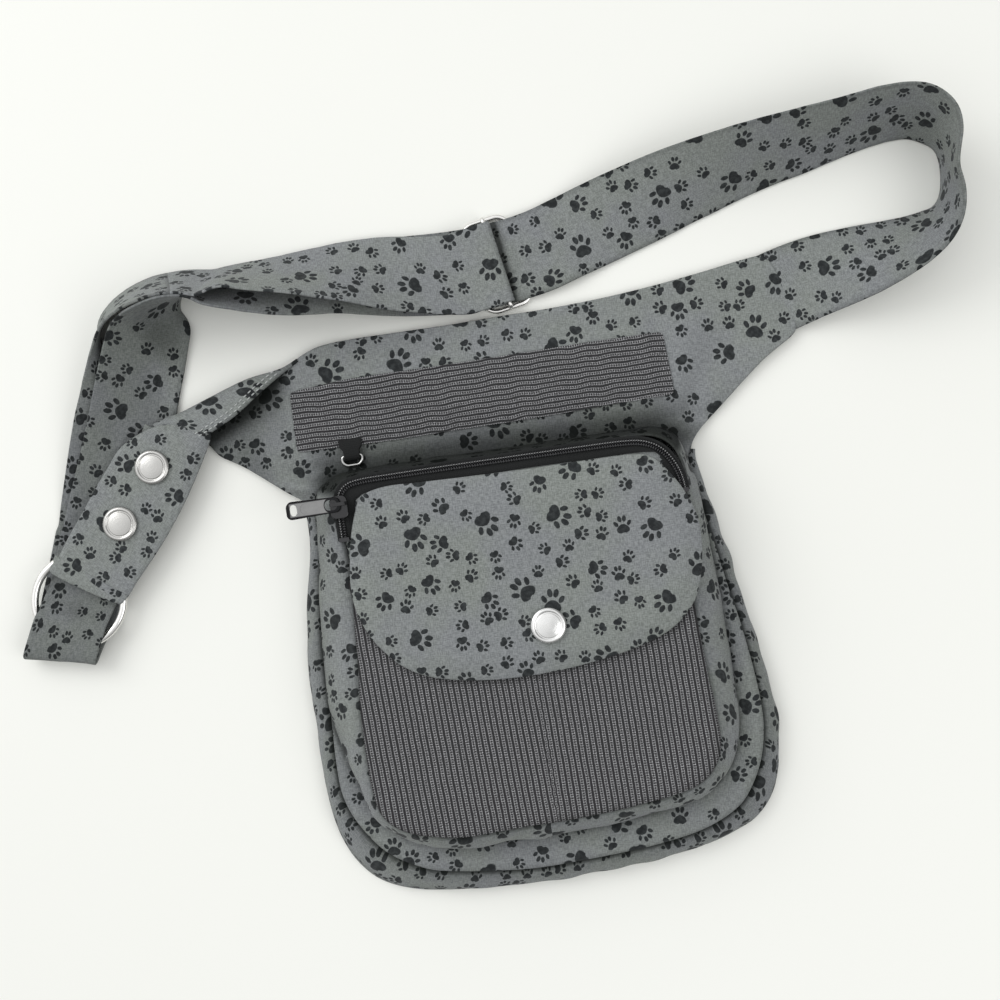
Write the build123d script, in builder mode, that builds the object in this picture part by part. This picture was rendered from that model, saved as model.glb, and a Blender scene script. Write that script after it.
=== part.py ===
from build123d import *
import os
from math import atan2, cos, degrees, radians, sin

# A treat pouch on a waist belt, lying on its back. Units are millimetres.
# +X runs across the pouch, +Y from its foot towards the belt, +Z up from the back panel.
# The origin is on the back panel's outer face, at the middle of the pouch.

# ---- driving dimensions -------------------------------------------------------------
PLY = 1.6                # one lined panel
GAP = 0.1                # between plies that are sewn face to face
POUCH_DEPTH = 14.0       # underside of the main front panel
POCKET_DEPTH = 15.3      # height of the raised pocket's side wall
MESH_T = 1.2
LINING_T = 1.0
FLAP_T = 1.4

STRAP_W = 40.0
STRAP_T = 1.4
STRAP_PITCH = 1.6        # from one strap layer to the next where they are doubled

SNAP_R = 8.5             # cap radius
SNAP_GAP = 3.4           # between the two plies that a closed snap joins
STUD_R = 2.3
SOCKET_BORE = 2.6

RING_R = 22.0            # wire centreline of the O-ring
RING_WIRE = 1.9
RING_Z = 8.0
RING_X, RING_Y = -219.0, 67.0

BUCKLE_L, BUCKLE_W = 27.0, 47.6
BUCKLE_WIRE = 1.1
BUCKLE_X, BUCKLE_Y, BUCKLE_TURN = 9.5, 202.4, 10.0

COIL_W, COIL_H = 4.0, 2.4
TAPE_T = 0.6

# ---- heights that follow ------------------------------------------------------------
YOKE_Z = PLY + GAP
YOKE_TOP = YOKE_Z + PLY
FRONT_TOP = POUCH_DEPTH + PLY
POCKET_Z = FRONT_TOP + GAP
PANEL_Z = POCKET_Z + POCKET_DEPTH
PANEL_TOP = PANEL_Z + PLY - 0.2
MESH_Z = PANEL_TOP + 0.2
MESH_TOP = MESH_Z + MESH_T
LINING_Z = MESH_TOP + SNAP_GAP
FLAP_Z = LINING_Z + LINING_T + GAP
FLAP_TOP = FLAP_Z + FLAP_T
COIL_Z = PANEL_TOP + TAPE_T + 0.1

# ---- outlines -----------------------------------------------------------------------
# Pouch outline at the back panel and at the front, corner by corner with corner radii.
POUCH_BASE = [(-102, 104), (-114, 8), (-113, -104), (8, -107), (118, -93), (105, 26), (94, 104)]
POUCH_FRONT = [(-94, 106), (-105, 8), (-107, -94), (2, -98), (111, -87), (101, 20), (90, 106)]
POUCH_RADII = [2, 90, 42, 150, 30, 90, 2]
SHELL = [
    (-102, 88), (-114, 8), (-113, -104), (8, -107), (118, -93), (105, 26), (95, 88),
    (95, 104), (151, 147), (142, 187), (34, 175.5), (-86, 175.5), (-112, 163), (-142, 155),
    (-143, 130), (-105, 100),
]
SHELL_RADII = [8, 90, 42, 150, 30, 90, 6, 8, 3, 2, 90, 22, 20, 2, 3, 5]
YOKE = [(-96, 111.5), (94, 111.5), *SHELL[8:15]]
YOKE_RADII = [2, 2, *SHELL_RADII[8:15]]

POCKET_BASE = [(-98, 110), (-107, -79), (97, -79), (92, 110)]
POCKET_TOP = [(-84, 106.5), (-88, -70), (83, -68), (84, 106.5)]
POCKET_RADII = [24, 54, 36, 24]
ZIP_START_Y = 79.0       # the zip runs round the top of the pocket from this height
ZIP_LEFT, ZIP_RIGHT, ZIP_Y = -82.0, 81.0, 104.5
PANEL_OUTLINE = [(-77, 98), (-86, -69), (82, -66), (76, 98)]
PANEL_RADII = [16, 20, 22, 20]
MESH_OUTLINE = [(-82, 60), (-86.5, -70.5), (82.5, -67.5), (79, 60)]
MESH_RADII = [2, 20, 22, 2]
FLAP_ROOT_Y = 97.5
FLAP_OUTLINE = [(-70, 97.3), (-84, 60), (-78, 10), (0, -1), (76, 6), (89, 56), (70, 97.3)]
FLAP_RADII = [9, 40, 36, 160, 34, 40, 9]
FLAP_SNAP = (8, 24)

# ---- belt route: x, y and bank, the tilt of the strap's width ------------------------
LOOP_RUN = [
    (138, 166, 0), (152, 169.5, -4), (168, 174, -14), (196, 179, -32), (218, 184.5, -50),
    (232, 192, -66), (240, 203, -75), (241.5, 216, -78), (241.5, 228, -70), (236, 240, -58),
    (225, 245.5, -50), (208, 246, -48), (182, 242.5, -44), (146, 237, -36), (110, 230, -24),
    (76, 220, -10), (46, 210.5, 0), (30, 205.5, 0),
]
BUCKLE_LIFT = 2.45
DOUBLE_RUN = [
    (-10, 201, 0, BUCKLE_LIFT), (-36, 204, 16, 1.0), (-66, 208, 38, 0.3), (-98, 209.5, 52, 0.2),
    (-128, 211.5, 64, 0.2), (-150, 212, 76, 0.2), (-166, 206, 96, 0.2), (-175, 196, 124, 0.2),
    (-178, 184, 152, 0.2), (-181, 168, 170, 0.2), (-187, 148, 180, 0.2), (-196, 122, 180, 0.2),
]
BELT_HEADING = 244.0     # of the doubled strap where it reaches the O-ring
TAB_HEADING = 52.3       # from the O-ring along the tab
TAB_SNAPS = (43.5, 75.5) # distances of the two snaps from the O-ring's centre
TAB_LOW_Z = 4.4
TAB_HIGH_Z = 10.2
RING_STRAP_W = 32.0      # a strap is bunched to this width inside the ring


def outline(points, radii):
    """Closed outline with a rounded corner at each point."""
    return FilletPolyline(*points, radius=radii, close=True)


def strap_plane(x, y, z, heading, bank):
    """Plane square to a strap: local x is the strap's width, local y its face normal."""
    left = Vector(-sin(radians(heading)), cos(radians(heading)), 0)
    width = left * cos(radians(bank)) + Vector(0, 0, sin(radians(bank)))
    run = Vector(cos(radians(heading)), sin(radians(heading)), 0)
    return Plane(origin=(x, y, z), x_dir=width, z_dir=run)


def heading_at(route, index):
    """Heading of a route at one of its stations, from the stations beside it."""
    before = route[max(index - 1, 0)]
    after = route[min(index + 1, len(route) - 1)]
    return degrees(atan2(after[1] - before[1], after[0] - before[0]))


def bank_height(bank, half_stack):
    """Height of a banked strap's centre when its lower edge is at the table."""
    return STRAP_W / 2 * abs(sin(radians(bank))) + half_stack * abs(cos(radians(bank)))


def along_ring(heading, distance, side=0.0):
    """Point at a distance from the O-ring's centre along a heading, and to its right."""
    h = radians(heading)
    x = RING_X + distance * cos(h) + side * sin(h)
    y = RING_Y + distance * sin(h) - side * cos(h)
    return x, y


def ring_station(heading, distance, z, bank):
    """Strap plane at a distance from the O-ring's centre."""
    x, y = along_ring(heading, distance)
    return strap_plane(x, y, z, heading, bank)


os.makedirs("parts", exist_ok=True)

# ---- pouch shell --------------------------------------------------------------------
MOUTH_Y, MOUTH_L, MOUTH_W = 95.0, 150.0, 10.0

with BuildPart() as back_panel:
    with BuildSketch(Plane.XY):
        with BuildLine():
            outline(SHELL, SHELL_RADII)
        make_face()
        # The big compartment's mouth is a slit in the back, along the wearer's waist.
        with Locations((0, MOUTH_Y)):
            SlotOverall(MOUTH_L, MOUTH_W, mode=Mode.SUBTRACT)
    extrude(amount=PLY)
back_panel.part.label = "back_panel"
export_step(back_panel.part, "parts/back_panel.step")

SLOPE_TOP_Y, SLOPE_FOOT_Y = 108.5, 111.0

with BuildPart() as main_front_panel:
    with BuildSketch(Plane.XY.offset(POUCH_DEPTH)):
        with BuildLine():
            outline(POUCH_FRONT, POUCH_RADII)
        make_face()
        with Locations((-2, (SLOPE_TOP_Y + 96) / 2)):
            Rectangle(180, SLOPE_TOP_Y - 96)
    extrude(amount=PLY)
    with BuildSketch(Plane.YZ.offset(-92)):
        with BuildLine():
            Polyline(
                (SLOPE_TOP_Y - 0.5, POUCH_DEPTH), (SLOPE_TOP_Y - 0.5, FRONT_TOP),
                (SLOPE_TOP_Y + 0.5, FRONT_TOP), (SLOPE_FOOT_Y + 1.5, YOKE_TOP),
                (SLOPE_FOOT_Y + 1.5, YOKE_Z), (SLOPE_FOOT_Y, YOKE_Z), close=True,
            )
        make_face()
    extrude(amount=180)
    with BuildSketch(Plane.XY.offset(YOKE_Z)):
        with BuildLine():
            outline(YOKE, YOKE_RADII)
        make_face()
    extrude(amount=PLY)
main_front_panel.part.label = "main_front_panel"
export_step(main_front_panel.part, "parts/main_front_panel.step")

with BuildPart() as main_gusset:
    with BuildSketch(Plane.XY.offset(YOKE_Z)):
        with BuildLine():
            outline(POUCH_BASE, POUCH_RADII)
        make_face()
    with BuildSketch(Plane.XY.offset(POUCH_DEPTH - GAP)):
        with BuildLine():
            outline(POUCH_FRONT, POUCH_RADII)
        make_face()
    loft(ruled=True)
    with BuildSketch(Plane.XY.offset(YOKE_Z)):
        with BuildLine():
            outline(POUCH_BASE, POUCH_RADII)
        make_face()
        offset(amount=-PLY, mode=Mode.REPLACE)
    with BuildSketch(Plane.XY.offset(POUCH_DEPTH - GAP)):
        with BuildLine():
            outline(POUCH_FRONT, POUCH_RADII)
        make_face()
        offset(amount=-PLY, mode=Mode.REPLACE)
    loft(ruled=True, mode=Mode.SUBTRACT)
    # The wall is open at the neck, where the front comes down to the yoke.
    with BuildSketch(Plane.XY):
        with Locations((0, 110)):
            Rectangle(230, 22)
    extrude(amount=POUCH_DEPTH + 2, mode=Mode.SUBTRACT)
main_gusset.part.label = "main_gusset"
export_step(main_gusset.part, "parts/main_gusset.step")

# ---- raised pocket ------------------------------------------------------------------
with BuildPart() as pocket_gusset:
    with BuildSketch(Plane.XY.offset(POCKET_Z)):
        with BuildLine():
            outline(POCKET_BASE, POCKET_RADII)
        make_face()
    with BuildSketch(Plane.XY.offset(PANEL_Z - GAP)):
        with BuildLine():
            outline(POCKET_TOP, [14, 24, 22, 18])
        make_face()
    loft(ruled=True)
    with BuildSketch(Plane.XY.offset(POCKET_Z)):
        with BuildLine():
            outline(POCKET_BASE, POCKET_RADII)
        make_face()
        offset(amount=-PLY, mode=Mode.REPLACE)
    with BuildSketch(Plane.XY.offset(PANEL_Z - GAP)):
        with BuildLine():
            outline(POCKET_TOP, [14, 24, 22, 18])
        make_face()
        offset(amount=-PLY, mode=Mode.REPLACE)
    loft(ruled=True, mode=Mode.SUBTRACT)
    with BuildSketch(Plane.XY.offset(POCKET_Z - 1)):
        with Locations((0, ZIP_START_Y + 20)):
            Rectangle(230, 40)
    extrude(amount=POCKET_DEPTH + 2, mode=Mode.SUBTRACT)
pocket_gusset.part.label = "pocket_gusset"
export_step(pocket_gusset.part, "parts/pocket_gusset.step")

ZIP_PATH = [
    (ZIP_LEFT, ZIP_START_Y, COIL_Z), (ZIP_LEFT, ZIP_Y, COIL_Z),
    (ZIP_RIGHT - 9, ZIP_Y, COIL_Z), (ZIP_RIGHT, 88, COIL_Z), (ZIP_RIGHT, ZIP_START_Y, COIL_Z),
]
ZIP_RADII = [8, 9, 12]
ZIP_END = Plane(origin=ZIP_PATH[0], x_dir=(1, 0, 0), z_dir=(0, 1, 0))

with BuildPart() as zip_coil:
    with BuildLine() as coil_path:
        FilletPolyline(*ZIP_PATH, radius=ZIP_RADII)
    with BuildSketch(ZIP_END):
        with Locations((0, -COIL_H / 2)):
            Rectangle(COIL_W, COIL_H)
    sweep(path=coil_path.line)
zip_coil.part.label = "zip_coil"
export_step(zip_coil.part, "parts/zip_coil.step")

with BuildPart() as zip_tape_inner:
    with BuildLine() as inner_path:
        FilletPolyline(*ZIP_PATH, radius=ZIP_RADII)
    with BuildSketch(ZIP_END):
        with Locations((2.6, TAPE_T / 2 + 0.1)):
            Rectangle(6.6, TAPE_T)
    sweep(path=inner_path.line)
zip_tape_inner.part.label = "zip_tape_inner"
export_step(zip_tape_inner.part, "parts/zip_tape_inner.step")

WALL_H = COIL_Z - POCKET_Z - 0.1

with BuildPart() as zip_tape_outer:
    with BuildLine() as outer_path:
        FilletPolyline(*ZIP_PATH, radius=ZIP_RADII)
    with BuildSketch(ZIP_END):
        with Locations((-1.6, WALL_H / 2 + 0.1)):
            Rectangle(1.0, WALL_H)
    sweep(path=outer_path.line)
zip_tape_outer.part.label = "zip_tape_outer"
export_step(zip_tape_outer.part, "parts/zip_tape_outer.step")

with BuildPart() as zip_stops:
    for stop_x in (ZIP_LEFT, ZIP_RIGHT):
        with BuildSketch(Plane.XY.offset(COIL_Z)):
            with Locations((stop_x, ZIP_START_Y - 1.1)):
                RectangleRounded(5.0, 2.0, 0.6)
        extrude(amount=COIL_H)
zip_stops.part.label = "zip_stops"
export_step(zip_stops.part, "parts/zip_stops.step")

SLIDER_Y, SLIDER_L, SLIDER_W = 93.5, 11.0, 8.4
SLIDER_SLOT = 5.6
SLIDER_LOW = COIL_Z + 0.1
SLIDER_ROOF = COIL_Z + COIL_H + 0.3
SLIDER_ROOF_TOP = SLIDER_ROOF + 1.2
PULL_Y = 95.0
PULL_Z = SLIDER_ROOF_TOP + 0.7
PULL_T = 1.6
ARCH_UNDER = PULL_Z + PULL_T + 0.7

with BuildPart() as zip_slider:
    with BuildSketch(Plane.XY.offset(SLIDER_ROOF)):
        with Locations((ZIP_LEFT, SLIDER_Y)):
            RectangleRounded(SLIDER_W, SLIDER_L, 2.6)
    extrude(amount=SLIDER_ROOF_TOP - SLIDER_ROOF)
    fillet(zip_slider.edges().group_by(Axis.Z)[-1], 0.5)
    for side in (-1, 1):
        with BuildSketch(Plane.XY.offset(SLIDER_LOW)):
            with Locations((ZIP_LEFT + side * (SLIDER_SLOT + 1.2) / 2, SLIDER_Y)):
                Rectangle(1.2, SLIDER_L - 5)
        extrude(amount=SLIDER_ROOF - SLIDER_LOW)
    # The bridge that holds the pull.
    with BuildSketch(Plane.XZ.offset(-PULL_Y - 0.8)):
        with Locations((ZIP_LEFT, (SLIDER_ROOF_TOP + ARCH_UNDER + 1.2) / 2 - 0.1)):
            RectangleRounded(8.0, ARCH_UNDER + 1.2 - SLIDER_ROOF_TOP + 0.2, 1.2)
        with Locations((ZIP_LEFT, (SLIDER_ROOF_TOP + ARCH_UNDER) / 2)):
            Rectangle(5.6, ARCH_UNDER - SLIDER_ROOF_TOP, mode=Mode.SUBTRACT)
    extrude(amount=1.6)
zip_slider.part.label = "zip_slider"
export_step(zip_slider.part, "parts/zip_slider.step")

PULL_EYE_X = ZIP_LEFT - 3.6
PULL_END_X = -106.7

with BuildPart() as zip_pull:
    with BuildSketch(Plane.XY.offset(PULL_Z)):
        with BuildLine():
            FilletPolyline(
                (ZIP_LEFT + 1.1, PULL_Y - 3.6), (ZIP_LEFT + 1.1, PULL_Y + 3.6),
                (PULL_END_X, PULL_Y + 4.4), (PULL_END_X, PULL_Y - 4.4),
                radius=[2.6, 3.2, 3.2, 2.6], close=True,
            )
        make_face()
        with Locations((PULL_EYE_X + 0.2, PULL_Y)):
            SlotOverall(6.2, 5.0, mode=Mode.SUBTRACT)
        with Locations((PULL_END_X + 3.4, PULL_Y)):
            SlotOverall(5.4, 3.4, rotation=90, mode=Mode.SUBTRACT)
    extrude(amount=PULL_T)
    with BuildSketch(Plane.XY.offset(PULL_Z + PULL_T)):
        with Locations((PULL_END_X + 11.2, PULL_Y)):
            SlotOverall(9.0, 5.2)
    extrude(amount=-0.4, mode=Mode.SUBTRACT)
    chamfer(zip_pull.faces().sort_by(Axis.Z)[-1].outer_wire().edges(), 0.25)
zip_pull.part.label = "zip_pull"
export_step(zip_pull.part, "parts/zip_pull.step")

with BuildPart() as pocket_front_panel:
    with BuildSketch(Plane.XY.offset(PANEL_Z)):
        with BuildLine():
            outline(PANEL_OUTLINE, PANEL_RADII)
        make_face()
        with Locations(FLAP_SNAP):
            Circle(STUD_R + 0.2, mode=Mode.SUBTRACT)
    extrude(amount=PANEL_TOP - PANEL_Z)
    # The rolled seam that the flap hangs from.
    with BuildSketch(Plane.XY.offset(PANEL_TOP)):
        with Locations((0, FLAP_ROOT_Y - 2.5)):
            Rectangle(118, 3)
    extrude(amount=LINING_Z - PANEL_TOP - 0.1)
pocket_front_panel.part.label = "pocket_front_panel"
export_step(pocket_front_panel.part, "parts/pocket_front_panel.step")

with BuildPart() as mesh_pocket:
    with BuildSketch(Plane.XY.offset(MESH_Z)):
        with BuildLine():
            outline(MESH_OUTLINE, MESH_RADII)
        make_face()
        with Locations(FLAP_SNAP):
            Circle(STUD_R + 0.2, mode=Mode.SUBTRACT)
    extrude(amount=MESH_T)
mesh_pocket.part.label = "mesh_pocket"
export_step(mesh_pocket.part, "parts/mesh_pocket.step")

# ---- flap ---------------------------------------------------------------------------
with BuildPart() as flap_outer:
    with BuildSketch(Plane.XY.offset(FLAP_Z)):
        with BuildLine():
            outline(FLAP_OUTLINE, FLAP_RADII)
        make_face()
        with Locations(FLAP_SNAP):
            Circle(STUD_R + 0.2, mode=Mode.SUBTRACT)
    extrude(amount=FLAP_T)
    fillet(flap_outer.faces().sort_by(Axis.Z)[-1].outer_wire().edges(), 0.5)
flap_outer.part.label = "flap_outer"
export_step(flap_outer.part, "parts/flap_outer.step")

with BuildPart() as flap_lining:
    with BuildSketch(Plane.XY.offset(LINING_Z)):
        with BuildLine():
            outline(FLAP_OUTLINE, FLAP_RADII)
        make_face()
        offset(amount=-0.8, mode=Mode.REPLACE)
        with Locations(FLAP_SNAP):
            Circle(STUD_R + 0.2, mode=Mode.SUBTRACT)
    extrude(amount=LINING_T)
flap_lining.part.label = "flap_lining"
export_step(flap_lining.part, "parts/flap_lining.step")


# ---- press snaps --------------------------------------------------------------------
def snap_frame(x, y, z):
    """Vertical section plane through a snap's axis, at a height."""
    return Plane(origin=(x, y, z), x_dir=(1, 0, 0), z_dir=(0, -1, 0))


def cap_outline(shank):
    """Half section of a cap with a rolled rim, whose shank goes down through the ply."""
    Polyline((0, -shank), (STUD_R, -shank), (STUD_R, 0), (SNAP_R - 0.4, 0))
    ThreePointArc((SNAP_R - 0.4, 0), (SNAP_R, 0.75), (SNAP_R - 0.5, 1.5))
    ThreePointArc((SNAP_R - 0.5, 1.5), (SNAP_R - 1.2, 1.85), (SNAP_R - 1.9, 1.6))
    ThreePointArc((SNAP_R - 1.9, 1.6), (SNAP_R - 2.4, 1.42), (SNAP_R - 2.9, 1.777))
    Polyline((SNAP_R - 2.9, 1.777), (4.3, 1.99), (2.9, 2.16), (1.4, 2.27), (0, 2.3), (0, -shank))


def socket_outline():
    """Half section of a socket ring that hangs under the upper ply."""
    Polyline((SOCKET_BORE, -2.0), (SOCKET_BORE, -0.1), (5.8, -0.1), (5.8, -0.6),
             (4.6, -0.9), (4.2, -2.0), close=True)


def stud_outline(height):
    """Half section of a stud standing on the lower ply."""
    Polyline((0, 0.1), (5.4, 0.1), (5.4, 0.8), (STUD_R, 0.9), (STUD_R, height - 0.5),
             (STUD_R - 0.5, height), (0, height), close=True)


def post_outline(ply):
    """Half section of the post that clamps a stud from below."""
    Polyline((0, 0), (0, -ply - 0.8), (5.2, -ply - 0.8), (5.2, -ply - 0.1),
             (STUD_R, -ply - 0.1), (STUD_R, 0), close=True)


FLAP_PLIES = FLAP_TOP - LINING_Z
POCKET_PLIES = MESH_TOP - PANEL_Z

with BuildPart() as flap_snap_cap:
    with BuildSketch(snap_frame(*FLAP_SNAP, FLAP_TOP + 0.1)):
        with BuildLine():
            cap_outline(FLAP_PLIES)
        make_face()
    revolve(axis=Axis((*FLAP_SNAP, 0), (0, 0, 1)))
flap_snap_cap.part.label = "flap_snap_cap"
export_step(flap_snap_cap.part, "parts/flap_snap_cap.step")

with BuildPart() as flap_snap_socket:
    with BuildSketch(snap_frame(*FLAP_SNAP, LINING_Z)):
        with BuildLine():
            socket_outline()
        make_face()
    revolve(axis=Axis((*FLAP_SNAP, 0), (0, 0, 1)))
flap_snap_socket.part.label = "flap_snap_socket"
export_step(flap_snap_socket.part, "parts/flap_snap_socket.step")

with BuildPart() as pocket_snap_stud:
    with BuildSketch(snap_frame(*FLAP_SNAP, MESH_TOP)):
        with BuildLine():
            stud_outline(SNAP_GAP - 0.5)
        make_face()
    revolve(axis=Axis((*FLAP_SNAP, 0), (0, 0, 1)))
pocket_snap_stud.part.label = "pocket_snap_stud"
export_step(pocket_snap_stud.part, "parts/pocket_snap_stud.step")

with BuildPart() as pocket_snap_post:
    with BuildSketch(snap_frame(*FLAP_SNAP, MESH_TOP)):
        with BuildLine():
            post_outline(POCKET_PLIES)
        make_face()
    revolve(axis=Axis((*FLAP_SNAP, 0), (0, 0, 1)))
pocket_snap_post.part.label = "pocket_snap_post"
export_step(pocket_snap_post.part, "parts/pocket_snap_post.step")

# ---- yoke fittings ------------------------------------------------------------------
STRIP_X, STRIP_Y, STRIP_L, STRIP_W = -7.5, 140.0, 188.0, 30.5

with BuildPart() as mesh_strip:
    with BuildSketch(Plane.XY.offset(YOKE_TOP + GAP)):
        with Locations((STRIP_X, STRIP_Y)):
            RectangleRounded(STRIP_L, STRIP_W, 1.0)
    extrude(amount=MESH_T)
mesh_strip.part.label = "mesh_strip"
export_step(mesh_strip.part, "parts/mesh_strip.step")

CLIP_X, CLIP_BAR_Y, CLIP_Z = -75.5, 118.3, YOKE_TOP + 1.7
CLIP_WIRE = 0.8

with BuildPart() as clip_tab:
    with BuildSketch(Plane.YZ.offset(CLIP_X - 3.5)):
        with Locations((CLIP_BAR_Y + 2.1, CLIP_Z)):
            SlotOverall(8.2, 3.0)
        with Locations((CLIP_BAR_Y, CLIP_Z)):
            Circle(CLIP_WIRE + 0.3, mode=Mode.SUBTRACT)
    extrude(amount=7)
clip_tab.part.label = "clip_tab"
export_step(clip_tab.part, "parts/clip_tab.step")

with BuildPart() as clip_ring:
    with BuildLine() as clip_wire:
        FilletPolyline(
            (CLIP_X + 5, CLIP_BAR_Y, CLIP_Z), (CLIP_X + 5, CLIP_BAR_Y - 4.7, CLIP_Z),
            (CLIP_X - 5, CLIP_BAR_Y - 4.7, CLIP_Z), (CLIP_X - 5, CLIP_BAR_Y, CLIP_Z),
            radius=[1.2, 3.2, 3.2, 1.2], close=True,
        )
    with BuildSketch(Plane(origin=clip_wire.line @ 0, z_dir=clip_wire.line % 0)):
        Circle(CLIP_WIRE)
    sweep(path=clip_wire.line)
clip_ring.part.label = "clip_ring"
export_step(clip_ring.part, "parts/clip_ring.step")

# ---- tab on the left wing -------------------------------------------------------------
FOLD_AT = 12.0           # centre of the tab's fold, from the ring's centre
HINGE_AT = 16.2
FOLD_R = (TAB_HIGH_Z - TAB_LOW_Z) / 2


TAB_HOLES = [along_ring(TAB_HEADING, distance) for distance in TAB_SNAPS]

with BuildPart() as tab_strap:
    with BuildSketch(Plane.XY.offset(TAB_LOW_Z)):
        with BuildLine():
            Polyline(
                along_ring(TAB_HEADING, FOLD_AT, -RING_STRAP_W / 2),
                along_ring(TAB_HEADING, 24, -STRAP_W / 2),
                along_ring(TAB_HEADING, 74, -STRAP_W / 2),
                (-163, 151), (-134, 157), (-134, 124),
                along_ring(TAB_HEADING, 92, STRAP_W / 2),
                along_ring(TAB_HEADING, 24, STRAP_W / 2),
                along_ring(TAB_HEADING, FOLD_AT, RING_STRAP_W / 2),
                close=True,
            )
        make_face()
        with Locations(*TAB_HOLES):
            Circle(STUD_R + 0.2, mode=Mode.SUBTRACT)
    extrude(amount=STRAP_T)
    # Where the tab is sewn to the wing.
    with BuildSketch(Plane.XY.offset(YOKE_TOP + GAP)):
        with Locations((-138, 141)):
            Rectangle(6, 22)
    extrude(amount=TAB_LOW_Z - YOKE_TOP - GAP)
    # The fold round the ring.
    with BuildSketch(strap_plane(*along_ring(TAB_HEADING, FOLD_AT, -RING_STRAP_W / 2),
                                 TAB_LOW_Z + STRAP_T / 2 + FOLD_R, TAB_HEADING - 90, 0)):
        with BuildLine():
            CenterArc((0, 0), FOLD_R + STRAP_T / 2, 90, 180)
            CenterArc((0, 0), FOLD_R - STRAP_T / 2, 90, 180)
            Line((0, FOLD_R + STRAP_T / 2), (0, FOLD_R - STRAP_T / 2))
            Line((0, -FOLD_R - STRAP_T / 2), (0, -FOLD_R + STRAP_T / 2))
        make_face()
    extrude(amount=RING_STRAP_W)
    # The first few millimetres of the upper layer, up to the crease where it peels back.
    with BuildSketch(Plane.XY.offset(TAB_HIGH_Z)):
        with BuildLine():
            Polyline(
                along_ring(TAB_HEADING, FOLD_AT, -RING_STRAP_W / 2),
                along_ring(TAB_HEADING, HINGE_AT - 0.2, -RING_STRAP_W / 2),
                along_ring(TAB_HEADING, HINGE_AT - 0.2, RING_STRAP_W / 2),
                along_ring(TAB_HEADING, FOLD_AT, RING_STRAP_W / 2),
                close=True,
            )
        make_face()
    extrude(amount=STRAP_T)
tab_strap.part.label = "tab_strap"
export_step(tab_strap.part, "parts/tab_strap.step")

with BuildPart() as tab_end:
    with BuildSketch(Plane.XY.offset(TAB_HIGH_Z)):
        with BuildLine():
            FilletPolyline(
                along_ring(TAB_HEADING, HINGE_AT + 0.2, -RING_STRAP_W / 2),
                along_ring(TAB_HEADING, 24, -STRAP_W / 2),
                along_ring(TAB_HEADING, 72, -STRAP_W / 2),
                along_ring(TAB_HEADING, 103, 6),
                along_ring(TAB_HEADING, 104, STRAP_W / 2),
                along_ring(TAB_HEADING, 24, STRAP_W / 2),
                along_ring(TAB_HEADING, HINGE_AT + 0.2, RING_STRAP_W / 2),
                radius=[0, 3, 6, 12, 3, 3, 0], close=True,
            )
        make_face()
        with Locations(*TAB_HOLES):
            Circle(STUD_R + 0.2, mode=Mode.SUBTRACT)
    extrude(amount=STRAP_T)
tab_end.part.label = "tab_end"
export_step(tab_end.part, "parts/tab_end.step")

TAB_GAP = TAB_HIGH_Z - TAB_LOW_Z - STRAP_T

with BuildPart() as tab_snap_caps:
    for distance in TAB_SNAPS:
        centre = along_ring(TAB_HEADING, distance)
        with BuildSketch(snap_frame(*centre, TAB_HIGH_Z + STRAP_T + 0.1)):
            with BuildLine():
                cap_outline(STRAP_T + 0.1)
            make_face()
        revolve(axis=Axis((*centre, 0), (0, 0, 1)))
tab_snap_caps.part.label = "tab_snap_caps"
export_step(tab_snap_caps.part, "parts/tab_snap_caps.step")

with BuildPart() as tab_snap_sockets:
    for distance in TAB_SNAPS:
        centre = along_ring(TAB_HEADING, distance)
        with BuildSketch(snap_frame(*centre, TAB_HIGH_Z)):
            with BuildLine():
                socket_outline()
            make_face()
        revolve(axis=Axis((*centre, 0), (0, 0, 1)))
tab_snap_sockets.part.label = "tab_snap_sockets"
export_step(tab_snap_sockets.part, "parts/tab_snap_sockets.step")

with BuildPart() as tab_snap_studs:
    for distance in TAB_SNAPS:
        centre = along_ring(TAB_HEADING, distance)
        with BuildSketch(snap_frame(*centre, TAB_LOW_Z + STRAP_T)):
            with BuildLine():
                stud_outline(TAB_GAP - 0.5)
            make_face()
        revolve(axis=Axis((*centre, 0), (0, 0, 1)))
tab_snap_studs.part.label = "tab_snap_studs"
export_step(tab_snap_studs.part, "parts/tab_snap_studs.step")

with BuildPart() as tab_snap_posts:
    for distance in TAB_SNAPS:
        centre = along_ring(TAB_HEADING, distance)
        with BuildSketch(snap_frame(*centre, TAB_LOW_Z + STRAP_T)):
            with BuildLine():
                post_outline(STRAP_T)
            make_face()
        revolve(axis=Axis((*centre, 0), (0, 0, 1)))
tab_snap_posts.part.label = "tab_snap_posts"
export_step(tab_snap_posts.part, "parts/tab_snap_posts.step")

with BuildPart() as o_ring:
    with BuildSketch(snap_frame(RING_X, RING_Y, RING_Z)):
        with Locations((RING_R, 0)):
            Circle(RING_WIRE)
    revolve(axis=Axis((RING_X, RING_Y, 0), (0, 0, 1)))
o_ring.part.label = "o_ring"
export_step(o_ring.part, "parts/o_ring.step")

# ---- belt ---------------------------------------------------------------------------
SEW_Z = YOKE_TOP + GAP + STRAP_T / 2
BELT_FOLD_AT = 27.6      # centre of the belt's fold, past the ring's centre
BELT_FOLD_R = 2.9
LOW_Z = 0.2 + STRAP_T / 2
OVER_Z = RING_Z + BELT_FOLD_R

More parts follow.
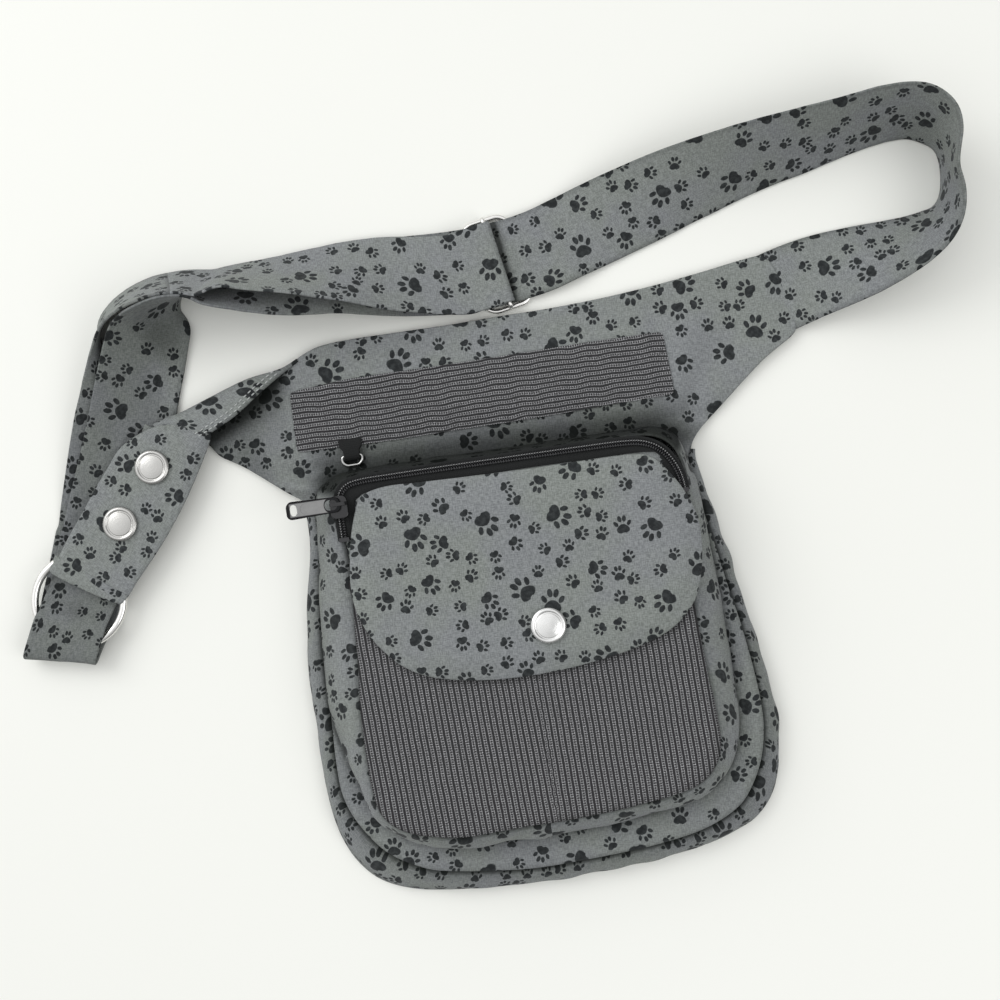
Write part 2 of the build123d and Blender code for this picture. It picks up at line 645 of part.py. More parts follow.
with BuildPart() as belt_strap:
    # From the right wing round the loop and through the buckle, then doubled to the ring.
    for index, (x, y, bank) in enumerate(LOOP_RUN):
        lift = SEW_Z - STRAP_T / 2 if index < 2 else 0.2
        if index > len(LOOP_RUN) - 3:
            lift = BUCKLE_LIFT
        height = lift + bank_height(bank, STRAP_T / 2)
        with BuildSketch(strap_plane(x, y, height, heading_at(LOOP_RUN, index), bank)):
            Rectangle(STRAP_W, STRAP_T)
    for index, (x, y, bank, lift) in enumerate(DOUBLE_RUN):
        height = lift + bank_height(bank, (STRAP_T + STRAP_PITCH) / 2)
        with BuildSketch(strap_plane(x, y, height, heading_at(DOUBLE_RUN, index), bank)):
            with Locations((0, -STRAP_PITCH / 2)):
                Rectangle(STRAP_W, STRAP_T)
    for distance, z, width in (
        (-36, LOW_Z + STRAP_PITCH, STRAP_W), (-9, LOW_Z + STRAP_PITCH, RING_STRAP_W),
        (10, OVER_Z, RING_STRAP_W), (16, OVER_Z, 36), (BELT_FOLD_AT, OVER_Z, 36),
    ):
        with BuildSketch(ring_station(BELT_HEADING, distance, z, 180)):
            Rectangle(width, STRAP_T)
    loft(ruled=True)
    # The returning layer, from under the ring back to the buckle.
    for distance, z in (
        (BELT_FOLD_AT, RING_Z - BELT_FOLD_R), (20, LOW_Z + 2), (8, LOW_Z), (-36, LOW_Z),
    ):
        with BuildSketch(ring_station(BELT_HEADING, distance, z, 180)):
            Rectangle(36, STRAP_T)
    for index in reversed(range(len(DOUBLE_RUN))):
        x, y, bank, lift = DOUBLE_RUN[index]
        height = lift + bank_height(bank, (STRAP_T + STRAP_PITCH) / 2)
        with BuildSketch(strap_plane(x, y, height, heading_at(DOUBLE_RUN, index), bank)):
            with Locations((0, STRAP_PITCH / 2)):
                Rectangle(STRAP_W, STRAP_T)
    loft(ruled=True)
    with BuildSketch(strap_plane(*along_ring(BELT_HEADING, BELT_FOLD_AT, -18), RING_Z,
                                 BELT_HEADING - 90, 0)):
        with BuildLine():
            CenterArc((0, 0), BELT_FOLD_R + STRAP_T / 2, 90, -180)
            CenterArc((0, 0), BELT_FOLD_R - STRAP_T / 2, 90, -180)
            Line((0, BELT_FOLD_R + STRAP_T / 2), (0, BELT_FOLD_R - STRAP_T / 2))
            Line((0, -BELT_FOLD_R - STRAP_T / 2), (0, -BELT_FOLD_R + STRAP_T / 2))
        make_face()
    extrude(amount=36)
belt_strap.part.label = "belt_strap"
export_step(belt_strap.part, "parts/belt_strap.step")

# ---- slider buckle ------------------------------------------------------------------
BUCKLE = Plane(origin=(BUCKLE_X, BUCKLE_Y, 0),
               x_dir=(cos(radians(BUCKLE_TURN)), sin(radians(BUCKLE_TURN)), 0), z_dir=(0, 0, 1))
FRAME_Z = BUCKLE_WIRE + 0.1
BAR_Z = BUCKLE_LIFT + 2 * STRAP_T + 0.3 + BUCKLE_WIRE
HALF_L = BUCKLE_L / 2 - BUCKLE_WIRE
HALF_W = BUCKLE_W / 2 - BUCKLE_WIRE


def buckle_point(x, y, z):
    """Point in the buckle's own axes, in the pouch's."""
    return BUCKLE.from_local_coords(Vector(x, y, z))


with BuildPart() as triglide_frame:
    with BuildLine() as frame_wire:
        FilletPolyline(
            buckle_point(HALF_L, HALF_W, FRAME_Z), buckle_point(-HALF_L, HALF_W, FRAME_Z),
            buckle_point(-HALF_L, -HALF_W, FRAME_Z), buckle_point(HALF_L, -HALF_W, FRAME_Z),
            radius=7, close=True,
        )
    with BuildSketch(Plane(origin=frame_wire.line @ 0, z_dir=frame_wire.line % 0)):
        Circle(BUCKLE_WIRE)
    sweep(path=frame_wire.line)
triglide_frame.part.label = "triglide_frame"
export_step(triglide_frame.part, "parts/triglide_frame.step")

BAR_HALF = HALF_W
BAR_FOOT_Z = FRAME_Z + BUCKLE_WIRE + 0.02
with BuildPart() as triglide_bar:
    with BuildLine() as bar_wire:
        FilletPolyline(
            buckle_point(0, -BAR_HALF, BAR_FOOT_Z), buckle_point(0, -BAR_HALF, BAR_Z),
            buckle_point(0, BAR_HALF, BAR_Z), buckle_point(0, BAR_HALF, BAR_FOOT_Z),
            radius=[1.6, 1.6],
        )
    with BuildSketch(Plane(origin=buckle_point(0, -BAR_HALF, BAR_FOOT_Z), x_dir=(1, 0, 0),
                           z_dir=(0, 0, 1))):
        Circle(BUCKLE_WIRE)
    sweep(path=bar_wire.line)
triglide_bar.part.label = "triglide_bar"
export_step(triglide_bar.part, "parts/triglide_bar.step")

LOOP_R = BUCKLE_WIRE + 0.15 + STRAP_T / 2

with BuildPart() as belt_end_loop:
    # A strap end folded round the centre bar, seen in section and extruded to its width.
    with BuildSketch(Plane(origin=buckle_point(0, -STRAP_W / 2, BAR_Z), x_dir=BUCKLE.x_dir,
                           z_dir=BUCKLE.y_dir)):
        with Locations((-6, 0)):
            Rectangle(12, 2 * LOOP_R + STRAP_T)
        Circle(LOOP_R + STRAP_T / 2)
        with Locations((-5, 0)):
            Rectangle(10, 2 * LOOP_R - STRAP_T, mode=Mode.SUBTRACT)
        Circle(LOOP_R - STRAP_T / 2, mode=Mode.SUBTRACT)
    extrude(amount=STRAP_W)
belt_end_loop.part.label = "belt_end_loop"
export_step(belt_end_loop.part, "parts/belt_end_loop.step")
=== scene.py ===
import math

import bpy
import numpy as np
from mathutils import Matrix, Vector
from mathutils.geometry import delaunay_2d_cdt


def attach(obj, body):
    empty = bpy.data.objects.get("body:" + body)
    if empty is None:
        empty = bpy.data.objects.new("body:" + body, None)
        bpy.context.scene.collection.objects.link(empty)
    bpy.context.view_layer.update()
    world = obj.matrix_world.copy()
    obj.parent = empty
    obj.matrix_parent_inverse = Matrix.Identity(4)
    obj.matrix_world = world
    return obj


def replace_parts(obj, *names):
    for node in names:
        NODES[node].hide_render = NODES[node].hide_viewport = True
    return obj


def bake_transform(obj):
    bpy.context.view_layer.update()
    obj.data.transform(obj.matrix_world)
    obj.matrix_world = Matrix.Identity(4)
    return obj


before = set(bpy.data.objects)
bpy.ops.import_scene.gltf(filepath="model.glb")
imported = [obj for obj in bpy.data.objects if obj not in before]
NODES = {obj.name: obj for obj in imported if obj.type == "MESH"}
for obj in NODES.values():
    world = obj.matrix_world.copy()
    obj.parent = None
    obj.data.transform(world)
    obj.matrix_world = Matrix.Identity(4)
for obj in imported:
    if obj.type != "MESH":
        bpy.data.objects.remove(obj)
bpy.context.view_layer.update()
MM = 0.001

# All outlines and routes below are in millimetres, in the row frame.
STRAP_W = 40.0
CAMERA_PLACE = np.array([-6.0, 85.8, 700.0])
RIM_ANGLES = (60, 30, 0, -30, -60)
RING = np.array([-219.0, 67.0, 8.0])
BELT_HEADING = math.radians(244.0)
TAB_HEADING = math.radians(52.3)
BUCKLE = np.array([9.5, 202.4])
BUCKLE_TURN = math.radians(10.0)


# ======================================================================== numeric helpers
def smoothstep(a, b, x):
    t = np.clip((np.asarray(x, float) - a) / (b - a), 0, 1)
    return t * t * (3 - 2 * t)


def waves(x, y, seed, length, count=7):
    """Smooth random field of about -1 to 1, with features of the given length."""
    r = np.random.default_rng(seed)
    total = np.zeros(np.broadcast(x, y).shape)
    for _ in range(count):
        angle = r.uniform(0, 2 * math.pi)
        k = 2 * math.pi / (length * r.uniform(0.6, 1.7))
        total += np.sin(k * (x * math.cos(angle) + y * math.sin(angle)) + r.uniform(0, 6.3))
    return total / math.sqrt(count) / 1.2


def spline(points, closed=False, per=14):
    """Centripetal-like Catmull-Rom curve through rows of any length."""
    p = np.array(points, float)
    if closed:
        p = np.vstack([p[-1], p, p[0], p[1]])
    else:
        p = np.vstack([2 * p[0] - p[1], p, 2 * p[-1] - p[-2]])
    out = []
    for i in range(1, len(p) - 2):
        a, b, c, d = p[i - 1], p[i], p[i + 1], p[i + 2]
        for t in np.linspace(0, 1, per, endpoint=False):
            out.append(0.5 * ((2 * b) + (c - a) * t + (2 * a - 5 * b + 4 * c - d) * t * t
                              + (3 * b - a - 3 * c + d) * t ** 3))
    if not closed:
        out.append(p[-2])
    return np.array(out)


def lengths(p, dims=2):
    """Running length along rows of points."""
    step = np.linalg.norm(np.diff(p[:, :dims], axis=0), axis=1)
    return np.concatenate([[0], np.cumsum(step)])


def resample(p, count, closed=False, dims=2):
    """The same curve with evenly spaced rows."""
    if closed:
        p = np.vstack([p, p[0]])
    s = lengths(p, dims)
    t = np.linspace(0, s[-1], count + 1)[:-1] if closed else np.linspace(0, s[-1], count)
    return np.column_stack([np.interp(t, s, p[:, k]) for k in range(p.shape[1])])


def soften(p, passes, closed=True):
    """Evens out a curve by repeated averaging."""
    p = p.copy()
    for _ in range(passes):
        if closed:
            p = (np.roll(p, 1, 0) + 2 * p + np.roll(p, -1, 0)) / 4
        else:
            p[1:-1] = (p[:-2] + 2 * p[1:-1] + p[2:]) / 4
    return p


def loop(points, spacing=1.6, passes=4):
    """Closed smooth outline through corner points, counter-clockwise."""
    p = spline(points, closed=True)
    total = lengths(np.vstack([p, p[0]]))[-1]
    p = soften(resample(p, max(24, int(total / spacing)), closed=True), passes)
    area = 0.5 * np.sum(p[:, 0] * np.roll(p[:, 1], -1) - np.roll(p[:, 0], -1) * p[:, 1])
    return p if area > 0 else p[::-1].copy()


def polygon(points, radius=2.0, spacing=1.3):
    """Closed outline with straight sides and small rounded corners, counter-clockwise."""
    p = np.array(points, float)
    out = []
    for a, b, c in zip(np.roll(p, 1, 0), p, np.roll(p, -1, 0)):
        u, v = (a - b) / np.linalg.norm(a - b), (c - b) / np.linalg.norm(c - b)
        for t in np.linspace(0, 1, 7):
            out.append(b + u * radius * (1 - t) ** 2 + v * radius * t ** 2)
    out = np.array(out)
    total = lengths(np.vstack([out, out[0]]))[-1]
    return resample(out, int(total / spacing), closed=True)


def inset(p, distance):
    """A counter-clockwise outline moved inwards."""
    tangent = np.roll(p, -1, 0) - np.roll(p, 1, 0)
    tangent /= np.linalg.norm(tangent, axis=1)[:, None] + 1e-12
    return p + np.column_stack([-tangent[:, 1], tangent[:, 0]]) * distance


def inside(points, poly):
    x, y = points[:, 0], points[:, 1]
    result = np.zeros(len(points), bool)
    for (x0, y0), (x1, y1) in zip(poly, np.roll(poly, -1, 0)):
        crosses = (y0 > y) != (y1 > y)
        if not crosses.any() or y0 == y1:
            continue
        result ^= crosses & (x < (x1 - x0) * (y - y0) / (y1 - y0) + x0)
    return result


def distance_to(points, poly, closed=True):
    """Distance from each point to an outline."""
    a = poly if closed else poly[:-1]
    b = np.roll(poly, -1, 0) if closed else poly[1:]
    best = np.full(len(points), 1e9)
    for start in range(0, len(a), 64):
        p0, p1 = a[start:start + 64], b[start:start + 64]
        d = p1 - p0
        q = points[:, None, :] - p0[None]
        t = np.clip((q * d).sum(2) / ((d * d).sum(1) + 1e-12), 0, 1)
        gap = q - t[..., None] * d
        best = np.minimum(best, np.sqrt((gap * gap).sum(2)).min(1))
    return best


# ======================================================================== mesh helpers
def make(name, verts, faces, material, body, uv=None, loop_uv=None, slot="pawprint_cloth",
         crease=None, hard=()):
    """Mesh object from millimetres, with its pattern coordinates in metres."""
    mesh = bpy.data.meshes.new(name)
    mesh.from_pydata((np.asarray(verts) * MM).tolist(), [], faces)
    layer = mesh.uv_layers.new(name="UVMap")
    if loop_uv is None:
        source = np.asarray(verts)[:, :2] if uv is None else np.asarray(uv)
        index = np.empty(len(mesh.loops), int)
        mesh.loops.foreach_get("vertex_index", index)
        loop_uv = source[index]
    layer.data.foreach_set("uv", (np.asarray(loop_uv) * MM).astype(np.float32).ravel())
    # The crease attribute holds painted shade: higher values darken the colour towards black.
    if crease is not None:
        shade = mesh.attributes.new("crease", "FLOAT", "POINT")
        shade.data.foreach_set("value", np.clip(crease, 0, 0.9).astype(np.float32))
    mesh.shade_smooth()
    for i in hard:
        mesh.polygons[i].use_smooth = False
    mesh.materials.append(material)
    mesh.validate()
    obj = bpy.data.objects.new(name, mesh)
    bpy.context.scene.collection.objects.link(obj)
    if body:
        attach(obj, body)
    return obj


def panel(name, outline, height, thickness, material, body, rings, spacing=3.2, holes=(),
          uv=None, crease=None, **rest):
    """Closed cloth panel over an outline, with a rounded rim.

    height(x, y, d) gives its upper face, where d is the distance from the outline; crease does
    the same for the shade painted into its colour. rings are the insets that get rows of points of
    their own.
    """
    half = thickness / 2
    edges = [inset(outline, half)] + [inset(h, -half) for h in holes]
    rim = [outline] + list(holes)
    low, high = outline.min(0), outline.max(0)
    gx, gy = np.meshgrid(np.arange(low[0], high[0], spacing),
                         np.arange(low[1], high[1], spacing * 0.87))
    gx = gx + (np.arange(gx.shape[0]) % 2)[:, None] * spacing / 2
    grid = np.column_stack([gx.ravel(), gy.ravel()])
    grid = grid[inside(grid, edges[0])]
    grid = grid[distance_to(grid, edges[0]) > max(rings) + spacing * 0.5]
    extra = []
    for r in rings:
        ring = inset(edges[0], r)
        ring = ring[inside(ring, edges[0])]
        extra.append(ring[distance_to(ring, edges[0]) > r * 0.9])
    for hole in edges[1:]:
        grid = grid[~inside(grid, hole) & (distance_to(grid, hole) > spacing * 0.5)]
    parts = edges + extra + [grid]
    flat = np.vstack(parts)
    wires, start = [], 0
    for e in edges:
        wires += [(start + i, start + (i + 1) % len(e)) for i in range(len(e))]
        start += len(e)
    out, _, tris, origin, _, _ = delaunay_2d_cdt(
        [Vector(v) for v in flat.tolist()], wires, [], 1, 1e-5)
    out = np.array([(v.x, v.y) for v in out])
    where = {}
    for i, sources in enumerate(origin):
        for s in sources:
            where[s] = i
    tris = np.array([t for t in tris if len(t) == 3])
    for hole in edges[1:]:
        centre = out[tris].mean(1)
        tris = tris[~inside(centre, hole)]
    a, b, c = out[tris[:, 0]], out[tris[:, 1]], out[tris[:, 2]]
    turn = (b[:, 0] - a[:, 0]) * (c[:, 1] - a[:, 1]) - (b[:, 1] - a[:, 1]) * (c[:, 0] - a[:, 0])
    tris[turn < 0] = tris[turn < 0][:, ::-1]
    depth = distance_to(out, outline)
    top = height(out[:, 0], out[:, 1], depth)
    n = len(out)
    verts = [np.column_stack([out, top]), np.column_stack([out, top - thickness])]
    faces = tris.tolist() + (tris[:, ::-1] + n).tolist()
    base, first = 2 * n, 0
    for edge, outer in zip(edges, rim):
        index = np.array([where[first + i] for i in range(len(edge))])
        first += len(edge)
        away = outer - edge
        rows = [index]
        for a in np.radians(RIM_ANGLES):
            verts.append(np.column_stack([edge + away * math.cos(a),
                                          top[index] - half + half * math.sin(a)]))
            rows.append(np.arange(base, base + len(edge)))
            base += len(edge)
        rows.append(index + n)
        forward = outer is outline
        for r0, r1 in zip(rows, rows[1:]):
            s0, s1 = np.roll(r0, -1), np.roll(r1, -1)
            quads = np.column_stack([r0, r1, s1, s0])
            faces += (quads if forward else quads[:, ::-1]).tolist()
    verts = np.vstack(verts)
    coords = verts[:, :2] if uv is None else uv(verts[:, 0], verts[:, 1])
    shade = None
    if crease is not None:
        shade = crease(verts[:, 0], verts[:, 1], distance_to(verts[:, :2], outline))
    return make(name, verts, faces, material, body, uv=coords, crease=shade, **rest)


def unit(v):
    return v / (np.linalg.norm(v, axis=-1, keepdims=True) + 1e-12)


def slab(name, grid, thickness, u, v, material, body, wrap=False, crease=None, **rest):
    """Closed sheet round a mid-surface grid, with rounded edges along both sides.

    u holds the pattern's place along the rows, v its place across them. wrap joins the last
    row to the first.
    """
    n, m = grid.shape[:2]
    if wrap:
        along = np.roll(grid, -1, 0) - np.roll(grid, 1, 0)
    else:
        along = np.gradient(grid, axis=0)
    across = np.gradient(grid, axis=1)
    normal = unit(np.cross(along, across))
    half = np.full((n, m, 1), thickness / 2)
    top, bottom = grid + normal * half, grid - normal * half
    last, first = unit(across[:, -1]), -unit(across[:, 0])
    columns, vs = [top[:, j] for j in range(m)], [v[:, j] for j in range(m)]

    def rim(column, outward, angles, sign):
        for a in np.radians(angles):
            turn = normal[:, column] * math.sin(a) + outward * math.cos(a)
            columns.append(grid[:, column] + half[:, column] * turn)
            vs.append(v[:, column] + sign * half[:, column, 0] * math.cos(a))

    rim(-1, last, RIM_ANGLES, 1)
    columns += [bottom[:, j] for j in range(m - 1, -1, -1)]
    vs += [v[:, j] for j in range(m - 1, -1, -1)]
    rim(0, first, RIM_ANGLES[::-1], -1)
    verts = np.stack(columns, 1)
    vs = np.stack(vs, 1)
    k = verts.shape[1]
    shade = None
    # crease holds painted shade for each row and column of the grid.
    if crease is not None:
        order = list(range(m)) + [m - 1] * 5 + list(range(m - 1, -1, -1)) + [0] * 5
        shade = np.broadcast_to(crease, (n, m))[:, order]

    faces, uvs = [], []
    last_u = u[-1] + (u[-1] - u[-2]) if wrap else None
    for i in range(n if wrap else n - 1):
        i2 = (i + 1) % n
        u0, u1 = u[i], (last_u if wrap and i == n - 1 else u[i2])
        for j in range(k):
            j2 = (j + 1) % k
            faces.append((i * k + j, i2 * k + j, i2 * k + j2, i * k + j2))
            uvs += [(u0, vs[i, j]), (u1, vs[i2, j]), (u1, vs[i2, j2]), (u0, vs[i, j2])]
    sides = len(faces)
    if not wrap:
        for i, flip in ((0, False), (n - 1, True)):
            ring = [i * k + j for j in range(k)]
            caps = [[j, j + 1, 2 * m + 3 - j, 2 * m + 4 - j] for j in range(m - 1)]
            right = list(range(m - 1, m + 6))
            left = list(range(2 * m + 4, k)) + [0]
            for cols in caps + [right, left]:
                cols = cols[::-1] if flip else cols
                faces.append(tuple(ring[c] for c in cols))
                uvs += [(u[i], vs[i, c]) for c in cols]
    return make(name, verts.reshape(-1, 3), faces, material, body, loop_uv=np.array(uvs),
                crease=None if shade is None else shade.ravel(),
                hard=range(sides, len(faces)), **rest)


def seam_painted_shade(d, depth=0.62, wide=0.22):
    """Painted shade along a cloth seam at a distance from it: a fine line with a soft margin."""
    return depth * np.exp(-(d / 0.75) ** 2) + wide * np.exp(-(d / 3.2) ** 2)


def thread(name, paths, material, body, pitch=3.0, stitch=2.1, radius=0.3, slot="pawprint_cloth"):
    """Rows of stitches along 3-D paths, each a short rounded bar half sunk in the cloth."""
    verts, faces = [], []
    for path in paths:
        s = lengths(path, 3)
        for at in np.arange(pitch / 2, s[-1] - pitch / 2, pitch):
            a = np.array([np.interp(at - stitch / 2, s, path[:, k]) for k in range(3)])
            b = np.array([np.interp(at + stitch / 2, s, path[:, k]) for k in range(3)])
            d = unit(b - a)
            side = unit(np.cross(d, (0.0, 0.0, 1.0)))
            up = np.cross(side, d)
            base = len(verts)
            for t, r in ((0, 0.15), (0.18, 0.85), (0.5, 1.0), (0.82, 0.85), (1, 0.15)):
                sink = -0.12 + 0.16 * math.sin(math.pi * t)
                centre = a + (b - a) * t + up * sink
                for q in range(6):
                    w = math.pi * q / 3
                    verts.append(centre + radius * r * (side * math.cos(w) + up * math.sin(w)))
            for i in range(4):
                for q in range(6):
                    q2 = (q + 1) % 6
                    faces.append((base + i * 6 + q, base + i * 6 + q2,
                                  base + i * 6 + 6 + q2, base + i * 6 + 6 + q))
            faces.append(tuple(base + q for q in range(5, -1, -1)))
            faces.append(tuple(base + 24 + q for q in range(6)))
    return make(name, np.array(verts), faces, material, body, slot=slot)


# ======================================================================== materials
class Tree:
    """Short-hand for building a material's node tree."""

    def __init__(self, tree):
        self.tree = tree

    def node(self, kind, **settings):
        n = self.tree.nodes.new(kind)
        for key, value in settings.items():
            setattr(n, key, value)
        return n

    def put(self, socket, value):
        if isinstance(value, bpy.types.NodeSocket):
            self.tree.links.new(value, socket)
        elif value is not None:
            socket.default_value = value

    def math(self, op, a, b=None, c=None, clamp=False):
        n = self.node("ShaderNodeMath", operation=op, use_clamp=clamp)
        for i, value in enumerate((a, b, c)):
            self.put(n.inputs[i], value)
        return n.outputs[0]

    def vector(self, op, a, b=None, scale=None):
        n = self.node("ShaderNodeVectorMath", operation=op)
        self.put(n.inputs[0], a)
        self.put(n.inputs[1], b)
        if scale is not None:
            self.put(n.inputs["Scale"], scale)
        return n.outputs["Value"] if op in ("LENGTH", "DISTANCE", "DOT_PRODUCT") else n.outputs[0]

    def split(self, v):
        n = self.node("ShaderNodeSeparateXYZ")
        self.put(n.inputs[0], v)
        return n.outputs[0], n.outputs[1], n.outputs[2]

    def span(self, value, low, high, to_low=0.0, to_high=1.0):
        n = self.node("ShaderNodeMapRange", interpolation_type="SMOOTHSTEP")
        for i, x in enumerate((value, low, high, to_low, to_high)):
            self.put(n.inputs[i], x)
        return n.outputs[0]

    def mix(self, factor, a, b):
        n = self.node("ShaderNodeMix", data_type="RGBA", blend_type="MIX")
        self.put(n.inputs[0], factor)
        self.put(n.inputs[6], a)
        self.put(n.inputs[7], b)
        return n.outputs[2]

    def noise(self, vector, scale, detail=2.0, rough=0.5, output=0):
        n = self.node("ShaderNodeTexNoise")
        self.put(n.inputs["Vector"], vector)
        n.inputs["Scale"].default_value = scale
        n.inputs["Detail"].default_value = detail
        n.inputs["Roughness"].default_value = rough
        return n.outputs[output]

    def bump(self, height, distance, strength=1.0, normal=None):
        n = self.node("ShaderNodeBump")
        n.inputs["Strength"].default_value = strength
        n.inputs["Distance"].default_value = distance
        self.put(n.inputs["Height"], height)
        if normal is not None:
            self.put(n.inputs["Normal"], normal)
        return n.outputs[0]


def material(name, roughness=0.9, metallic=0.0, specular=0.3, sheen=0.0):
    """New material: its tree, and its shader with the plain numbers set on it."""
    mat = bpy.data.materials.new(name)
    mat.use_nodes = True
    t = Tree(mat.node_tree)
    shader = next(n for n in mat.node_tree.nodes if n.type == "BSDF_PRINCIPLED")
    shader.inputs["Roughness"].default_value = roughness
    shader.inputs["Metallic"].default_value = metallic
    shader.inputs["Specular IOR Level"].default_value = specular
    shader.inputs["Sheen Weight"].default_value = sheen
    shader.inputs["Sheen Roughness"].default_value = 0.5
    return mat, t, shader


def pattern_uv(t):
    return t.node("ShaderNodeUVMap", uv_map="UVMap").outputs[0]


def object_place(t):
    return t.node("ShaderNodeTexCoord").outputs["Object"]


# The shade painted into a mesh through its crease attribute.
def painted_shade_value(t):
    return t.node("ShaderNodeAttribute", attribute_name="crease").outputs["Fac"]


def scaled(colour, *factors):
    """A colour with its channels multiplied by one factor, or by one each."""
    factors = factors * 3 if len(factors) == 1 else factors
    return tuple(c * f for c, f in zip(colour, factors)) + (1,)


def node_group(name, **sockets):
    """New group with the given inputs and one output, Ink: the group, tree, inputs and output."""
    group = bpy.data.node_groups.new(name, "ShaderNodeTree")
    for socket, kind in sockets.items():
        group.interface.new_socket(socket, in_out="INPUT", socket_type="NodeSocket" + kind)
    group.interface.new_socket("Ink", in_out="OUTPUT", socket_type="NodeSocketFloat")
    t = Tree(group)
    source, sink = t.node("NodeGroupInput"), t.node("NodeGroupOutput")
    return group, t, source.outputs, sink.inputs[0]


def paw_shape_group():
    """Mask of one paw: a pad and four toes, in units of the paw's radius."""
    group, t, (x, y, *_), ink_out = node_group("paw_shape", X="Float", Y="Float")
    side = t.math("ABSOLUTE", x)

    def oval(cx, cy, angle, rx, ry):
        """1 at an oval's edge, less inside it."""
        dx, dy = t.math("SUBTRACT", side, cx), t.math("SUBTRACT", y, cy)
        c, s = math.cos(angle), math.sin(angle)
        a = t.math("MULTIPLY_ADD", dx, c / rx, t.math("MULTIPLY", dy, s / rx))
        b = t.math("MULTIPLY_ADD", dy, c / ry, t.math("MULTIPLY", dx, -s / ry))
        return t.math("SQRT", t.math("MULTIPLY_ADD", a, a, t.math("MULTIPLY", b, b)))

    toes = t.math("MINIMUM",
                  oval(0.235, 0.63, math.radians(-12), 0.205, 0.32),
                  oval(0.655, 0.17, math.radians(-34), 0.185, 0.30))
    # The pad is wide at its foot and narrow at its head, with a slight notch below.
    lean = t.math("MULTIPLY_ADD", y, -0.40, 0.48)
    px = t.math("DIVIDE", side, t.math("MAXIMUM", lean, 0.12))
    py = t.math("DIVIDE", t.math("ADD", y, 0.36), 0.47)
    pad = t.math("SQRT", t.math("MULTIPLY_ADD", px, px, t.math("MULTIPLY", py, py)))
    notch = t.math("SUBTRACT", 2.0, oval(0.0, -0.98, 0.0, 0.26, 0.24))
    pad = t.math("MAXIMUM", pad, notch)
    t.put(ink_out, t.math("MAXIMUM", t.span(toes, 1.12, 0.90), t.span(pad, 1.08, 0.94)))
    return group


def paw_print_group(shape):
    """Random scatter of small, middling and large paws that keep clear of each other."""
    group, t, (place, *_), ink_out = node_group("paw_print", Vector="Vector")

    def cells(vector, cell, spread, feature="F1"):
        n = t.node("ShaderNodeTexVoronoi", voronoi_dimensions="2D", feature=feature)
        t.put(n.inputs["Vector"], vector)
        n.inputs["Scale"].default_value = 1 / cell
        n.inputs["Randomness"].default_value = spread
        return n.outputs["Position"], n.outputs["Color"]

    def layer(cell, spread, offset, low, high, avoid):
        """avoid lists the larger layers: cell, spread, offset, distance to keep."""
        total = None
        shift = (offset, offset * 0.7, 0.0)
        for feature in ("F1", "F2"):
            moved = t.vector("ADD", place, shift)
            centre, colour = cells(moved, cell, spread, feature)
            red, green, _ = t.split(colour)
            size = t.math("MULTIPLY_ADD", t.math("POWER", green, 1.6), high - low, low)
            local = t.vector("SUBTRACT", moved, centre)
            lx, ly, _ = t.split(local)
            angle = t.math("MULTIPLY", red, 2 * math.pi)
            c, s = t.math("COSINE", angle), t.math("SINE", angle)
            rx = t.math("DIVIDE", t.math("SUBTRACT", t.math("MULTIPLY", lx, c),
                                         t.math("MULTIPLY", ly, s)), size)
            ry = t.math("DIVIDE", t.math("ADD", t.math("MULTIPLY", lx, s),
                                         t.math("MULTIPLY", ly, c)), size)
            paw = t.node("ShaderNodeGroup", node_tree=shape)
            t.put(paw.inputs[0], rx)
            t.put(paw.inputs[1], ry)
            ink = paw.outputs[0]
            home = t.vector("SUBTRACT", centre, shift)
            for cell2, spread2, offset2, keep in avoid:
                shifted = t.vector("ADD", home, (offset2, offset2 * 0.7, 0.0))
                other, _ = cells(shifted, cell2, spread2)
                gap = t.vector("DISTANCE", shifted, other)
                ink = t.math("MULTIPLY", ink, t.math("GREATER_THAN", gap, keep))
            total = ink if total is None else t.math("MAXIMUM", total, ink)
        return total

    large = (0.036, 0.75, 0.013)
    middle = (0.027, 0.8, 0.131)
    small = (0.0107, 0.52, 0.057)
    a = layer(*large, 0.0060, 0.0071, [])
    b = layer(*middle, 0.0046, 0.0053, [(*large, 0.0115)])
    c = layer(*small, 0.0033, 0.0039, [(*large, 0.0102), (*middle, 0.0080)])
    t.put(ink_out, t.math("MAXIMUM", a, t.math("MAXIMUM", b, c)))
    return group


PAW_PRINT = paw_print_group(paw_shape_group())


